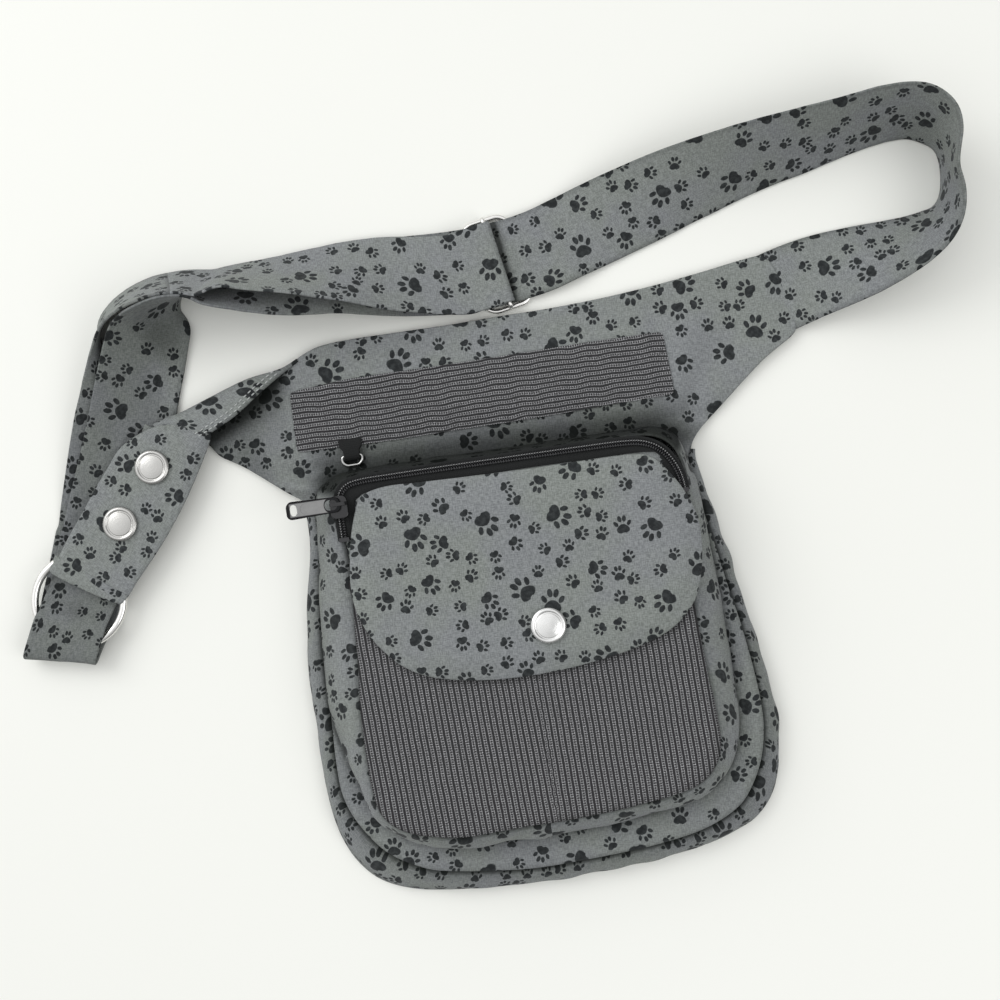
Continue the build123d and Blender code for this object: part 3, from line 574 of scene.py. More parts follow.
def cloth_material(name, ground=(0.180, 0.190, 0.186, 1)):
    """Printed canvas: woven ground, ink, and the slight colour drift of a dyed cloth.

    The crease attribute paints shade into it in seams and deep furrows.
    """
    mat, t, shader = material(name, roughness=0.93, specular=0.12, sheen=0.07)
    uv = pattern_uv(t)
    warp = t.noise(t.vector("MULTIPLY", uv, (2300.0, 420.0, 1.0)), 1.0, 1.0)
    weft = t.noise(t.vector("MULTIPLY", uv, (380.0, 2500.0, 1.0)), 1.0, 1.0)
    weave = t.math("ADD", t.math("MULTIPLY", warp, 0.5), t.math("MULTIPLY", weft, 0.5))
    drift = t.noise(uv, 26.0, 3.0, 0.55)
    cool, warm = scaled(ground, 0.98, 0.98, 1.03), scaled(ground, 0.99, 1.02, 0.96)
    colour = t.mix(t.span(drift, 0.35, 0.65), cool, warm)
    colour = t.mix(t.span(weave, 0.36, 0.64), t.mix(0.22, colour, (0.02, 0.022, 0.022, 1)),
                   t.mix(0.12, colour, (0.62, 0.64, 0.64, 1)))
    paw = t.node("ShaderNodeGroup", node_tree=PAW_PRINT)
    jitter = t.noise(uv, 900.0, 1.0, output="Color")
    wobble = t.vector("SCALE", t.vector("SUBTRACT", jitter, (0.5, 0.5, 0.5)), scale=0.00045)
    t.put(paw.inputs[0], t.vector("ADD", uv, wobble))
    ink = t.math("MULTIPLY", paw.outputs[0], t.span(weave, 0.30, 0.44, 0.86, 1.0))
    mottle = t.noise(uv, 420.0, 2.0)
    dark = t.mix(t.span(mottle, 0.35, 0.75), (0.017, 0.019, 0.020, 1), (0.036, 0.040, 0.041, 1))
    colour = t.mix(ink, colour, dark)
    # Painted shade: the crease attribute darkens the colour towards black and takes away its
    # specular and sheen.
    hollow = painted_shade_value(t)
    colour = t.mix(hollow, colour, (0.006, 0.007, 0.006, 1))
    t.put(shader.inputs["Base Color"], colour)
    t.put(shader.inputs["Specular IOR Level"], t.span(hollow, 0.0, 0.8, 0.12, 0.02))
    t.put(shader.inputs["Sheen Weight"], t.span(hollow, 0.0, 0.8, 0.07, 0.0))
    t.put(shader.inputs["Roughness"], t.span(weave, 0.3, 0.7, 0.96, 0.86))
    pucker = t.noise(uv, 95.0, 3.0, 0.6)
    normal = t.bump(pucker, 0.0011, 0.35)
    t.put(shader.inputs["Normal"], t.bump(weave, 0.00022, 0.6, normal))
    return mat


def net_material(name, pitch=0.00285, rung=0.00118, across="x"):
    """Ribbed elastic net: light ladder ribs with dark eyelets between dark furrows."""
    mat, t, shader = material(name, roughness=0.7, specular=0.2, sheen=0.05)
    uv = pattern_uv(t)
    sway = t.math("SUBTRACT", t.noise(uv, 60.0, 2.0), 0.5)
    x, y, _ = t.split(uv)
    if across == "y":
        x, y = y, x
    x = t.math("MULTIPLY_ADD", sway, 0.0007, x)
    column = t.math("DIVIDE", x, pitch)
    u = t.math("FRACT", column)
    step = t.math("DIVIDE", y, rung)
    v = t.math("FRACT", t.math("MULTIPLY_ADD", t.math("FLOOR", column), 0.37, step))

    def ridge(value, centre, width):
        gap = t.math("ABSOLUTE", t.math("SUBTRACT", value, centre))
        return t.span(gap, width, width * 0.25)

    rails = t.math("MAXIMUM", ridge(u, 0.16, 0.11), ridge(u, 0.60, 0.11))
    between = t.math("MULTIPLY", t.math("GREATER_THAN", u, 0.16), t.math("LESS_THAN", u, 0.60))
    rungs = t.math("MULTIPLY", ridge(v, 0.5, 0.24), between)
    rails = t.math("MULTIPLY", rails, t.span(t.math("ABSOLUTE", t.math("SUBTRACT", v, 0.5)),
                                             0.5, 0.2, 0.45, 1.0))
    yarn = t.math("MAXIMUM", rails, rungs, clamp=True)
    furrow = t.span(t.math("ABSOLUTE", t.math("SUBTRACT", u, 0.88)), 0.19, 0.05)
    fuzz = t.noise(uv, 2600.0, 2.0)
    light = t.mix(t.span(fuzz, 0.3, 0.7), (0.045, 0.045, 0.047, 1), (0.50, 0.50, 0.51, 1))
    dark = t.mix(fuzz, (0.008, 0.008, 0.009, 1), (0.05, 0.05, 0.052, 1))
    colour = t.mix(yarn, dark, light)
    colour = t.mix(t.math("MULTIPLY", furrow, 0.7), colour, (0.012, 0.012, 0.013, 1))
    # Painted shade from the crease attribute darkens the net towards black.
    colour = t.mix(painted_shade_value(t), colour, (0.006, 0.006, 0.006, 1))
    t.put(shader.inputs["Base Color"], colour)
    normal = t.bump(t.noise(uv, 70.0, 2.0), 0.0012, 0.3)
    t.put(shader.inputs["Normal"], t.bump(yarn, 0.00045, 0.8, normal))
    return mat


def tape_material(name, ground=(0.010, 0.0105, 0.0105, 1)):
    """Black woven tape with a fine rib across it."""
    mat, t, shader = material(name, roughness=0.85, specular=0.12, sheen=0.02)
    uv = pattern_uv(t)
    x, y, _ = t.split(uv)
    rib = t.math("SINE", t.math("MULTIPLY", x, 2 * math.pi / 0.0009))
    herring = t.math("SINE", t.math("MULTIPLY", t.math("ADD", y, t.math("MULTIPLY", rib, 0.0001)),
                                    2 * math.pi / 0.0008))
    fuzz = t.noise(uv, 1500.0, 2.0)
    t.put(shader.inputs["Base Color"],
          t.mix(t.math("MULTIPLY", fuzz, 0.8), ground, scaled(ground, 2.6)))
    height = t.math("ADD", t.math("MULTIPLY", rib, 0.3), t.math("MULTIPLY", herring, 0.3))
    t.put(shader.inputs["Normal"], t.bump(height, 0.0002, 0.5))
    return mat


def metal_material(name, base=(0.78, 0.77, 0.745, 1), roughness=0.2, streak=0.05):
    """Nickel plate with hairline scratches and a little haze."""
    mat, t, shader = material(name, roughness=roughness, metallic=1.0, specular=0.5)
    place = object_place(t)
    haze = t.noise(place, 240.0, 3.0, 0.6)
    lines = t.noise(t.vector("MULTIPLY", place, (3200.0, 350.0, 900.0)), 1.0, 1.0)
    t.put(shader.inputs["Base Color"], t.mix(t.span(haze, 0.3, 0.7), scaled(base, 0.95), base))
    t.put(shader.inputs["Roughness"],
          t.math("ADD", t.span(haze, 0.3, 0.7, roughness * 0.9, roughness * 1.15),
                 t.math("MULTIPLY", t.math("SUBTRACT", lines, 0.5), streak)))
    t.put(shader.inputs["Normal"], t.bump(lines, 0.00001, 0.2))
    return mat


def plastic_material(name, base=(0.012, 0.012, 0.013, 1), roughness=0.36):
    """Moulded nylon with faint flow marks."""
    mat, t, shader = material(name, roughness=roughness, specular=0.45)
    place = object_place(t)
    flow = t.noise(place, 900.0, 3.0)
    t.put(shader.inputs["Base Color"], t.mix(flow, base, scaled(base, 2.2)))
    t.put(shader.inputs["Roughness"], t.span(flow, 0.3, 0.7, roughness * 0.8, roughness * 1.3))
    t.put(shader.inputs["Normal"], t.bump(flow, 0.00005, 0.3))
    return mat


def thread_material(name, base):
    """Sewing thread with a fine twist."""
    mat, t, shader = material(name, roughness=0.75, specular=0.3, sheen=0.2)
    place = object_place(t)
    twist = t.noise(place, 3000.0, 2.0)
    t.put(shader.inputs["Base Color"], t.mix(twist, scaled(base, 0.6), base))
    t.put(shader.inputs["Normal"], t.bump(twist, 0.0001, 0.4))
    return mat


CLOTH = cloth_material("pawprint_canvas")
NET = net_material("ribbed_net_upright")
NET_BAND = net_material("ribbed_net_level", pitch=0.0026, across="y")
TAPE = tape_material("black_tape")
COIL = plastic_material("black_coil")
NICKEL = metal_material("nickel_plate")
CAP_METAL = metal_material("bright_nickel_cap", base=(0.74, 0.74, 0.725, 1), roughness=0.2,
                           streak=0.015)
TAB_CAP_METAL = metal_material("satin_nickel_caps", base=(0.50, 0.495, 0.475, 1), roughness=0.26,
                               streak=0.015)
GUNMETAL = metal_material("dark_nickel", base=(0.05, 0.05, 0.051, 1), roughness=0.2)
RING_METAL = metal_material("worn_nickel", base=(0.45, 0.45, 0.44, 1), roughness=0.2)
THREAD = thread_material("grey_thread", (0.46, 0.48, 0.47, 1))
DARK_THREAD = thread_material("dark_thread", (0.03, 0.031, 0.033, 1))
ZIP_THREAD = thread_material("zip_thread", (0.30, 0.305, 0.30, 1))


def pull_material():
    """Smoked nickel face inside a blackened, rounded border."""
    mat, t, shader = material("smoked_nickel", roughness=0.2, metallic=1.0, specular=0.5)
    place = object_place(t)
    x, y, _ = t.split(place)
    side = t.span(t.math("ABSOLUTE", t.math("SUBTRACT", y, 0.095)), 0.0028, 0.0034)
    end = t.span(x, -0.1046, -0.1053)
    eye = t.vector("DISTANCE", place, (-0.0845, 0.095, 0.0385))
    border = t.math("MAXIMUM", t.math("MAXIMUM", side, end), t.span(eye, 0.0046, 0.0040))
    haze = t.noise(place, 300.0, 3.0)
    face = t.mix(haze, (0.20, 0.20, 0.198, 1), (0.27, 0.27, 0.265, 1))
    t.put(shader.inputs["Base Color"], t.mix(border, face, (0.018, 0.018, 0.019, 1)))
    t.put(shader.inputs["Roughness"], t.span(haze, 0.3, 0.7, 0.16, 0.26))
    return mat


PULL_METAL = pull_material()

# ======================================================================== outlines
BASE_EDGE = [  # pouch outline at the back, from the left of the neck round the foot to the right
    (-102.8, 97), (-102.5, 89.5), (-102.8, 79), (-105, 67.4), (-108.6, 48), (-112, 28),
    (-113.6, 11.5), (-113.2, -3), (-113, -22), (-113, -41.5), (-111.6, -57), (-108.3, -71),
    (-102, -83.5), (-92, -93.5), (-77, -100), (-57.6, -103.4), (-35, -105), (-9, -105.8),
    (16.2, -105), (49.3, -102.8), (73.8, -98.9), (87.1, -94.6), (97.2, -90.0), (105.8, -81.5),
    (110.6, -72), (113, -62.3), (115.4, -44.1), (114.1, -28.7), (110.8, -10.6), (108.4, 8.9),
    (105.1, 24), (101.1, 50.3), (97.2, 72), (94.2, 83), (93.0, 91), (93.4, 97),
]
FRONT_EDGE = [  # the same edge at the main front panel
    (-98.6, 97), (-97.6, 88), (-97.4, 76), (-99.6, 64), (-101, 54), (-103.3, 36), (-104.6, 18),
    (-104.9, -5.5), (-105.8, -31.4), (-104.6, -48), (-98.4, -63.1), (-86.4, -78.6),
    (-69.2, -88.8), (-55.5, -92.3), (-33, -95.4), (-8.4, -96.9), (32.2, -95.2), (55, -92.8),
    (72, -89.2), (86, -83.0), (94.5, -75.5), (102.8, -61), (107.0, -45), (107.6, -30),
    (106.2, -12), (103.1, 11.1), (100.2, 26), (97.2, 45), (94.2, 62), (91.4, 76), (90.2, 87),
    (91.2, 97),
]
POCKET_FOOT = [  # where the pocket's wall meets the main front
    (-95.5, 98), (-96.5, 84), (-98, 70), (-100.6, 50), (-102.8, 25), (-103.6, 5), (-102.4, -12),
    (-99, -26), (-92.8, -42.6), (-88.6, -53.5), (-81.5, -64), (-70.4, -71.6), (-52, -77),
    (-35, -78.6), (-5.6, -78.2), (18.9, -78.0), (51.3, -75.1), (68, -71.4), (80.6, -64.5),
    (88.6, -54.5), (92.8, -42), (94.2, -24), (94.5, -6), (94.1, 15), (93.3, 35), (91.8, 55),
    (90.0, 72), (88.5, 85), (86, 99), (78, 109.6), (60, 110.6), (20, 110.4), (-30, 110.6),
    (-70, 110.6), (-88, 108.5),
]
POCKET_HEAD = [  # the pocket's upper edge: its front seam, then the outside of the zip
    (-84.8, 92), (-84.3, 84), (-83.4, 76), (-82.6, 62), (-82.8, 47), (-84.7, 22), (-86.6, 0),
    (-87.4, -20), (-87.0, -40), (-84.6, -54), (-77.6, -62.4), (-66, -67.8), (-49, -72),
    (-28, -71.8), (-5.2, -70.8), (22, -69.6), (50.4, -67.4), (66, -63.9), (75.6, -57.6),
    (81.1, -47.5), (82, -32), (80.8, -10), (79.4, 10), (79.2, 30), (80.2, 50), (81.8, 66),
    (83.6, 78), (82.8, 90), (79.8, 99), (73, 105), (62, 107), (20, 106.9), (-30, 106.9),
    (-66, 106.9), (-79, 104.6), (-83.6, 99),
]
FLAP_EDGE = [
    (-70.2, 97.7), (-73.5, 93.4), (-77.5, 82.5), (-80.4, 69.2), (-82.1, 54.6), (-81.0, 43.0),
    (-76.6, 30.9), (-69.5, 20.8), (-62.5, 13.9), (-50.9, 7.6), (-33.4, 3.4), (-15.0, 1.5),
    (4.9, 1.5), (24.8, 3.2), (46.1, 6.8), (65.2, 13.3), (77.7, 24.2), (83.5, 38.0), (86.0, 54.0),
    (85.2, 66.5), (80.5, 79.0), (74.2, 89.0), (68.3, 95.6), (59.6, 98.2), (30, 98.6),
    (5.3, 98.6), (-37.7, 99.6), (-58.6, 100.2),
]
YOKE_EDGE = [  # from the right of the neck round both wings to the left of the neck
    (91.4, 97), (96.4, 105), (108.5, 115.2), (133.1, 135.2), (149.6, 145.4), (152.6, 149.4),
    (151.6, 154.5), (147.9, 174), (142.4, 186.2), (138.0, 187.3), (124, 185.6), (109, 183.3),
    (88, 180.6), (60, 178.0), (30.5, 176.5), (7.4, 176.4), (-17.9, 175.8), (-46.3, 175.9),
    (-68.2, 175.8), (-84, 174.6), (-94, 171), (-105.5, 164.6), (-123, 160.4), (-140.7, 154.4),
    (-151, 149.5), (-149, 139), (-143.6, 132), (-140.8, 127.6), (-129, 120.1), (-110, 104.6),
    (-102, 98.6),
]
WING_FREE_EDGE = [
    (-95.4, 169.0), (-103.7, 164.0), (-115.5, 155.8), (-128.4, 146.7), (-141.9, 139.9),
    (-150, 136.5), (-157, 134),
]


def open_curve(points, passes, count):
    return resample(soften(spline(points), passes, closed=False), count)


# ======================================================================== pouch shell
def edge_height(y):
    """Height of the main front panel's seam: it comes down to the yoke at the neck."""
    return 3.4 + 10.8 * (1 - smoothstep(72, 99, y))


def front_height(x, y, d):
    """Upper face of the main front panel, which runs on into the yoke and both wings."""
    seam = edge_height(y)
    middle = 15.7 + 0.5 * waves(x, y, 11, 60)
    body = seam + (middle - seam) * smoothstep(0, 11, d) ** 0.55
    body = body - 2.1 * (1 - smoothstep(0, 2.8, d)) * (y < 95)
    yoke = 3.6 + 0.5 * waves(x, y, 12, 60) + 0.9 * smoothstep(110, 150, x)
    # Soft pulls fan out from the neck's right corner and run along the left wing.
    angle = np.arctan2(y - 104, x - 88)
    reach = np.hypot(x - 88, y - 104)
    fan = np.sin(angle * 9.0 + reach / 30) * smoothstep(8, 22, reach)
    fan = fan * (1 - smoothstep(50, 85, reach))
    pulls = waves(x + y, (x - y) * 0.4, 14, 24) * smoothstep(96, 118, -x)
    yoke = yoke + 0.75 * fan * (x > 80) + 0.55 * pulls
    # The yoke swells from the valley above the pocket up to its band.
    clip = np.exp(-(((x + 75.5) / 9) ** 2 + ((y - 118) / 8) ** 2))
    swell = smoothstep(111, 126, y) * (1 - smoothstep(150, 172, y))
    swell = swell * (1 - smoothstep(95, 122, np.abs(x)))
    valley = (1 - smoothstep(110, 122, y)) * (np.abs(x) < 100)
    yoke = yoke - 0.9 * valley + 1.7 * swell * (1 - clip)
    yoke = yoke * (1 - clip) + np.minimum(yoke, 3.1) * clip
    t = smoothstep(104.5, 112.5, y + 0.9 * waves(x, y, 13, 45))
    return body * (1 - t) + yoke * t


def front_painted_shade(x, y, d):
    """Shade painted into the cloth: in the seams, at the pocket's foot, on the left wing, and a
    painted shadow under its fold.
    """
    at = np.column_stack([x, y])
    foot = distance_to(at, loop(POCKET_FOOT, passes=4))
    dark = seam_painted_shade(d) * (y < 98)
    valley = smoothstep(92, 106, y) * (1 - smoothstep(88, 104, np.abs(x)))
    dark = np.maximum(dark, 0.86 * np.exp(-(foot / 11.5) ** 1.5) * valley)
    dark = np.maximum(dark, 0.5 * np.exp(-(foot / 1.6) ** 2) + 0.2 * np.exp(-(foot / 6) ** 2))
    fold = distance_to(at, np.array(WING_FREE_EDGE), closed=False)
    under = (1 - smoothstep(-110, -96, x)) * (y > 108)
    wing = 0.36 * (1 - smoothstep(-125, -108, x)) * (y > 100)
    shade = 0.85 * np.exp(-(fold / 8.0) ** 1.5) + 0.28 * np.exp(-fold / 24)
    return np.maximum(np.maximum(dark, wing), shade * under)


def build_shell():
    front_outline = loop(FRONT_EDGE[1:-1] + YOKE_EDGE, passes=3)
    back_outline = loop(BASE_EDGE[1:-1] + YOKE_EDGE, passes=3)
    front = panel("front_body", front_outline, front_height, 1.5, CLOTH, "pouch",
                  spacing=2.6, rings=(0.5, 1.2, 2.2, 3.6, 5.4), crease=front_painted_shade)
    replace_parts(front, "main_front_panel")

    slit = loop([(-74, 95), (-72, 98.2), (-60, 99.4), (60, 99.4), (72, 98.2), (74, 95),
                 (72, 91.8), (60, 90.6), (-60, 90.6), (-72, 91.8)], passes=2)

    def back_height(x, y, d):
        return 1.7 + 0 * x

    back = panel("back_body", inset(back_outline, 0.3), back_height, 1.5, CLOTH, "pouch",
                 spacing=4.0, rings=(1.5, 3.5), holes=[slit])
    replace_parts(back, "back_panel")
    # Two welts line the mouth.
    x = np.linspace(-73, 73, 74)
    for name, side in (("mouth_welt_upper", 1), ("mouth_welt_lower", -1)):
        rows = []
        for w in np.linspace(-0.3, 3.6, 7):
            y = 95 + side * (0.35 + w + 0.25 * np.cos(x / 12.0 + side))
            z = 1.95 + 0.25 * math.sin(math.pi * min(max(w, 0), 3.2) / 3.2) + 0 * x
            rows.append(np.column_stack([x, y, z]))
        grid = np.stack(rows, 1)
        v = np.tile(np.linspace(0, 3.9, 7), (len(x), 1))
        slab(name, grid if side > 0 else grid[:, ::-1], 0.9, x, v, CLOTH, "pouch")

    count = 420
    base = open_curve(BASE_EDGE, 6, count)
    head = open_curve(FRONT_EDGE, 6, count)
    s = lengths(base)
    levels = np.concatenate([np.linspace(0, 0.8, 9), np.linspace(0.85, 1, 6)])
    grid = np.zeros((count, len(levels), 3))
    tangent = unit(np.gradient(base, axis=0))
    out = np.column_stack([tangent[:, 1], -tangent[:, 0]])
    top_z = edge_height(head[:, 1]) - 0.9
    for j, t in enumerate(levels):
        flat = base * (1 - t) + head * t
        belly = 2.2 * math.sin(math.pi * min(1, t * 1.02)) ** 0.8
        pull = 0.6 * waves(s, t * 18, 21, 26) * math.sin(math.pi * t)
        tuck = 1.5 * max(0, (t - 0.82) / 0.18) ** 2
        flat = flat + out * (belly + pull - tuck)[:, None] - out * 1.6 * (1 - t)
        grid[:, j, :2] = flat
        grid[:, j, 2] = 1.3 + (top_z - 1.3) * t ** 0.85 - 0.25 * tuck
    # Painted shade along the wall's top seam and at its foot on the table.
    dark = seam_painted_shade((1 - levels) * 13, 0.6, 0.28) + 0.3 * np.exp(-(levels * 13 / 2.5) ** 2)
    wall = slab("side_wall", grid, 1.3, s, np.tile(levels * 17, (count, 1)), CLOTH, "pouch",
                crease=np.tile(dark, (count, 1)))
    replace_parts(wall, "main_gusset")


# ======================================================================== raised pocket
POCKET_TOP_Z = 33.0


def build_pocket():
    counts = [44, 74, 20, 84, 20, 74, 44]

    def paired(points, anchors):
        """The loop from its first anchor on, with the same counts of points between anchors."""
        def nearest(p, x, y):
            return np.argmin(np.hypot(p[:, 0] - x, p[:, 1] - y))

        p = loop(points, passes=4)
        p = np.roll(p, -nearest(p, *anchors[0]), 0)
        at = [nearest(p, *anchor) for anchor in anchors] + [len(p)]
        p = np.vstack([p, p[0]])
        return soften(np.vstack([resample(p[at[k]:at[k + 1] + 1], count + 1)[:-1]
                                 for k, count in enumerate(counts)]), 3)

    f = paired(POCKET_FOOT, [(-5.6, -78.2), (80.6, -64.5), (88.5, 85), (78, 109.6), (-88, 108.5),
                             (-96.5, 84), (-81.5, -64)])
    h = paired(POCKET_HEAD, [(-5.2, -70.8), (75.6, -57.6), (83.6, 80), (76.5, 103),
                             (-80.5, 103.6), (-84.3, 84), (-80.6, -59.6)])
    n = len(f)
    s = lengths(np.vstack([f, f[0]]))[:-1]
    levels = np.concatenate([[0, 0.04, 0.09], np.linspace(0.15, 0.85, 9), [0.9, 0.94, 0.97, 1]])
    tangent = unit(np.roll(f, -1, 0) - np.roll(f, 1, 0))
    out = np.column_stack([tangent[:, 1], -tangent[:, 0]])
    zip_side = smoothstep(78, 86, h[:, 1])
    grid = np.zeros((n, len(levels), 3))
    foot_z = 14.6 - 9.5 * smoothstep(104, 109.5, f[:, 1])
    for j, t in enumerate(levels):
        flat = f * (1 - t) + h * t
        belly = 2.3 * math.sin(math.pi * t) * (1 - 0.75 * zip_side)
        sag = 0.9 * waves(s, t * 20, 31, 34) * math.sin(math.pi * t)
        tuck = 1.2 * max(0, (t - 0.88) / 0.12) ** 2 + 0.8 * max(0, (0.1 - t) / 0.1)
        flat = flat + out * (belly + sag - tuck * (1 - zip_side))[:, None]
        grid[:, j, :2] = flat
        top = POCKET_TOP_Z - 0.6 + 0.5 * zip_side
        grid[:, j, 2] = foot_z + (top - foot_z) * t ** 0.8 - 0.3 * tuck
    # Painted shade at the wall's foot and along its top seam, near black where the wall faces the
    # deep valley above the pocket.
    north = smoothstep(99, 105, f[:, 1])[:, None]
    dark = 0.55 * np.exp(-(levels * 19 / 1.6) ** 2) + 0.2 * np.exp(-(levels * 19 / 6) ** 2)
    dark = np.maximum(dark, seam_painted_shade((1 - levels) * 19, 0.55, 0.2))[None, :]
    dark = np.maximum(dark, north * (0.9 - 0.04 * levels)[None, :])
    wall = slab("pocket_wall", grid, 1.2, s, np.tile(levels * 24 + 60, (n, 1)), CLOTH, "pouch",
                wrap=True, crease=dark)
    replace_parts(wall, "pocket_gusset", "zip_tape_outer")

    # Pocket front under the flap, with the roll the flap hangs from.
    front_edge = [p for p in POCKET_HEAD if p[1] < 80]
    front_outline = inset(loop(front_edge + [
        (80.5, 86), (76, 95), (66, 99.2), (20, 99.8), (-30, 99.8), (-66, 99.6), (-77, 96),
        (-80.5, 87)], passes=3), 0.7)

    def pocket_top(x, y, d):
        return (POCKET_TOP_Z - 0.2 - 1.4 * (1 - smoothstep(0, 3.0, d))
                + 0.25 * np.clip(waves(x, y, 41, 60), -1, 1))

    def front_z(x, y, d):
        roll = smoothstep(89, 95, y) * (1 - smoothstep(70, 76, np.abs(x)))
        return pocket_top(x, y, d) + 2.0 * roll

    # Painted shade along the pocket front's rim.
    front = panel("pocket_front", front_outline, front_z, 1.3, CLOTH, "pouch", spacing=3.2,
                  rings=(0.5, 1.2, 2.2, 3.6), crease=lambda x, y, d: seam_painted_shade(d, 0.45, 0.15))
    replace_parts(front, "pocket_front_panel")

    net_edge = [p for p in POCKET_HEAD if p[1] < 60]
    net_outline = inset(loop(net_edge + [(79.0, 61), (40, 62), (-20, 61.5), (-78, 61)], passes=3),
                        0.35)

    def net_z(x, y, d):
        lift = 0.32 * (1 + np.clip(waves(x, y, 43, 34, 5), -1, 1)) * smoothstep(0, 8, d)
        return pocket_top(x, y, d) + 1.1 + lift

    def net_painted_shade(x, y, d):
        # Painted shade along the net's seam, and the flap's shadow painted on the net along the
        # flap's edge.
        flap = distance_to(np.column_stack([x, y]), np.array(FLAP_EDGE))
        return np.maximum(seam_painted_shade(d, 0.5, 0.15), 0.35 * np.exp(-(flap / 2.4) ** 2) * (y < 50))

    def net_uv(x, y):
        lean = 0.035 * (y - 60) + 0.00022 * (y - 60) ** 2 * np.sign(x) * 0.25
        return np.column_stack([x + lean, y + 0.0004 * x * x])

    net = panel("mesh_slip_pocket", net_outline, net_z, 0.9, NET, "pouch", spacing=2.6,
                rings=(0.5, 1.2, 2.2, 3.6), uv=net_uv, slot="black_mesh", crease=net_painted_shade)
    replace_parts(net, "mesh_pocket")


def build_flap():
    outline = loop(FLAP_EDGE, spacing=1.4, passes=3)

    def height(x, y, d):
        free = 1 - smoothstep(0, 13, d)
        lift = 39.55 + 0.22 * waves(x, y, 51, 50)
        droop = 2.3 * free ** 1.6 + 0.7 * (1 - smoothstep(0, 1.6, d))
        z = lift - droop * (1 - smoothstep(88, 96, y))
        root = smoothstep(84, 98, y)
        z = z * (1 - root) + (36.9 - 0.5 * smoothstep(97, 100, y)) * root
        near = np.exp(-(((x - 8) ** 2 + (y - 24) ** 2) / 15 ** 2))
        z = z * (1 - near) + (39.62 - 0.001 * d) * near
        return np.minimum(z, 39.72)

    flap = panel("flap", outline, height, 1.9, CLOTH, None, spacing=2.8,
                 rings=(0.6, 1.4, 2.6, 4.4), uv=lambda x, y: np.column_stack([x + 300, y + 40]))
    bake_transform(flap)
    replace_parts(flap, "flap_outer", "flap_lining")


# ======================================================================== zip
ZIP_LINE = [(-82, 77.5), (-82, 84), (-82, 91), (-81.3, 98), (-77.5, 102.8), (-70, 104.4),
            (-57, 104.6), (-27, 104.7), (0, 104.6), (38, 104.4), (55, 104.1), (64.5, 103.0),
            (72.2, 99.2), (77.4, 92.6), (80.4, 85), (81.2, 77.5)]


def build_zip():
    line = open_curve(ZIP_LINE, 8, 200)
    tangent = unit(np.gradient(line, axis=0))
    inward = np.column_stack([tangent[:, 1], -tangent[:, 0]])
    s = lengths(line)

    def ribbon(name, low, high):
        w = np.linspace(low, high, 6)
        grid = np.zeros((len(line), 6, 3))
        for j, x in enumerate(w):
            grid[:, j, :2] = line + inward * x
            sag = 0.1 * abs((j - 2.5) / 2.5)
            grid[:, j, 2] = POCKET_TOP_Z + 0.15 - sag + 0.12 * np.sin(s / 9 + j)
        return slab(name, grid, 0.5, s, np.tile(w, (len(line), 1)), TAPE, "pouch",
                    slot="black_tape")

    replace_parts(ribbon("zip_tape_inner_cloth", 0.4, 7.0), "zip_tape_inner")
    ribbon("zip_tape_outer_cloth", -2.9, -0.4)

    # The coil: interlocked rows of nylon loops, with a chain of stitches down its middle.
    pitch, wire, section = 1.25, 0.34, 6
    verts, faces = [], []
    # Each loop's place across the zip, its height, and how round its wire is there.
    arc = [(0.25, 0.35, 1.0), (0.9, 0.95, 1.0), (1.75, 1.05, 1.0), (2.25, 0.62, 0.7),
           (1.75, 0.16, 0.7), (0.9, 0.1, 0.7)]
    m = len(arc)
    for k, at in enumerate(np.arange(1.0, s[-1] - 1.0, pitch / 2)):
        side = 1 if k % 2 else -1
        c = np.array([np.interp(at, s, line[:, i]) for i in range(2)])
        d = unit(np.array([np.interp(at, s, tangent[:, i]) for i in range(2)]))
        w = np.array([d[1], -d[0]]) * side
        base = len(verts)
        for x, z, flat in arc:
            centre = np.array([*(c + w * (x - 0.55)), POCKET_TOP_Z + 0.35 + z])
            for ang in 2 * math.pi * np.arange(section) / section:
                along = np.array([d[0], d[1], 0]) * math.cos(ang)
                verts.append(centre + wire * (along + np.array([0, 0, math.sin(ang) * flat])))
        for a in range(m):
            row, row2 = base + a * section, base + (a + 1) % m * section
            for q in range(section):
                q2 = (q + 1) % section
                faces.append((row + q, row + q2, row2 + q2, row2 + q))
    coil = make("zip_coil_teeth", np.array(verts), faces, COIL, "pouch", slot="nylon_coil")
    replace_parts(coil, "zip_coil")
    for name, offset, yarn in (("zip_chain_stitch", -0.9, ZIP_THREAD),
                               ("zip_inner_stitch", 0.95, DARK_THREAD)):
        row = line + inward * offset
        row = np.column_stack([row, np.full(len(row), POCKET_TOP_Z + 1.70)])
        thread(name, [row], yarn, "pouch", pitch=pitch, stitch=0.8, radius=0.22,
               slot="nylon_coil")


# ======================================================================== yoke fittings
def build_band():
    outline = polygon([(-101.5, 124.2), (-101.0, 153.4), (-74, 155.7), (-33, 155.6),
                       (4, 155.9), (51, 156.4), (85.4, 156.2), (86.8, 125.8),
                       (54, 125.0), (14.5, 123.9), (-25.4, 123.8), (-54, 123.4)], radius=1.6)

    def height(x, y, d):
        return front_height(x, y, 20 + 0 * d) + 1.15 - 0.5 * (1 - smoothstep(0, 1.8, d))

    def uv(x, y):
        drift = 0.7 * waves(x, y, 62, 80, 4) + 0.35 * waves(x, y, 63, 14, 5)
        return np.column_stack([x, y + drift])

    band = panel("mesh_band", outline, height, 1.0, NET_BAND, "pouch", spacing=2.6,
                 rings=(0.7, 1.6), uv=uv, slot="black_mesh")
    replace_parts(band, "mesh_strip")


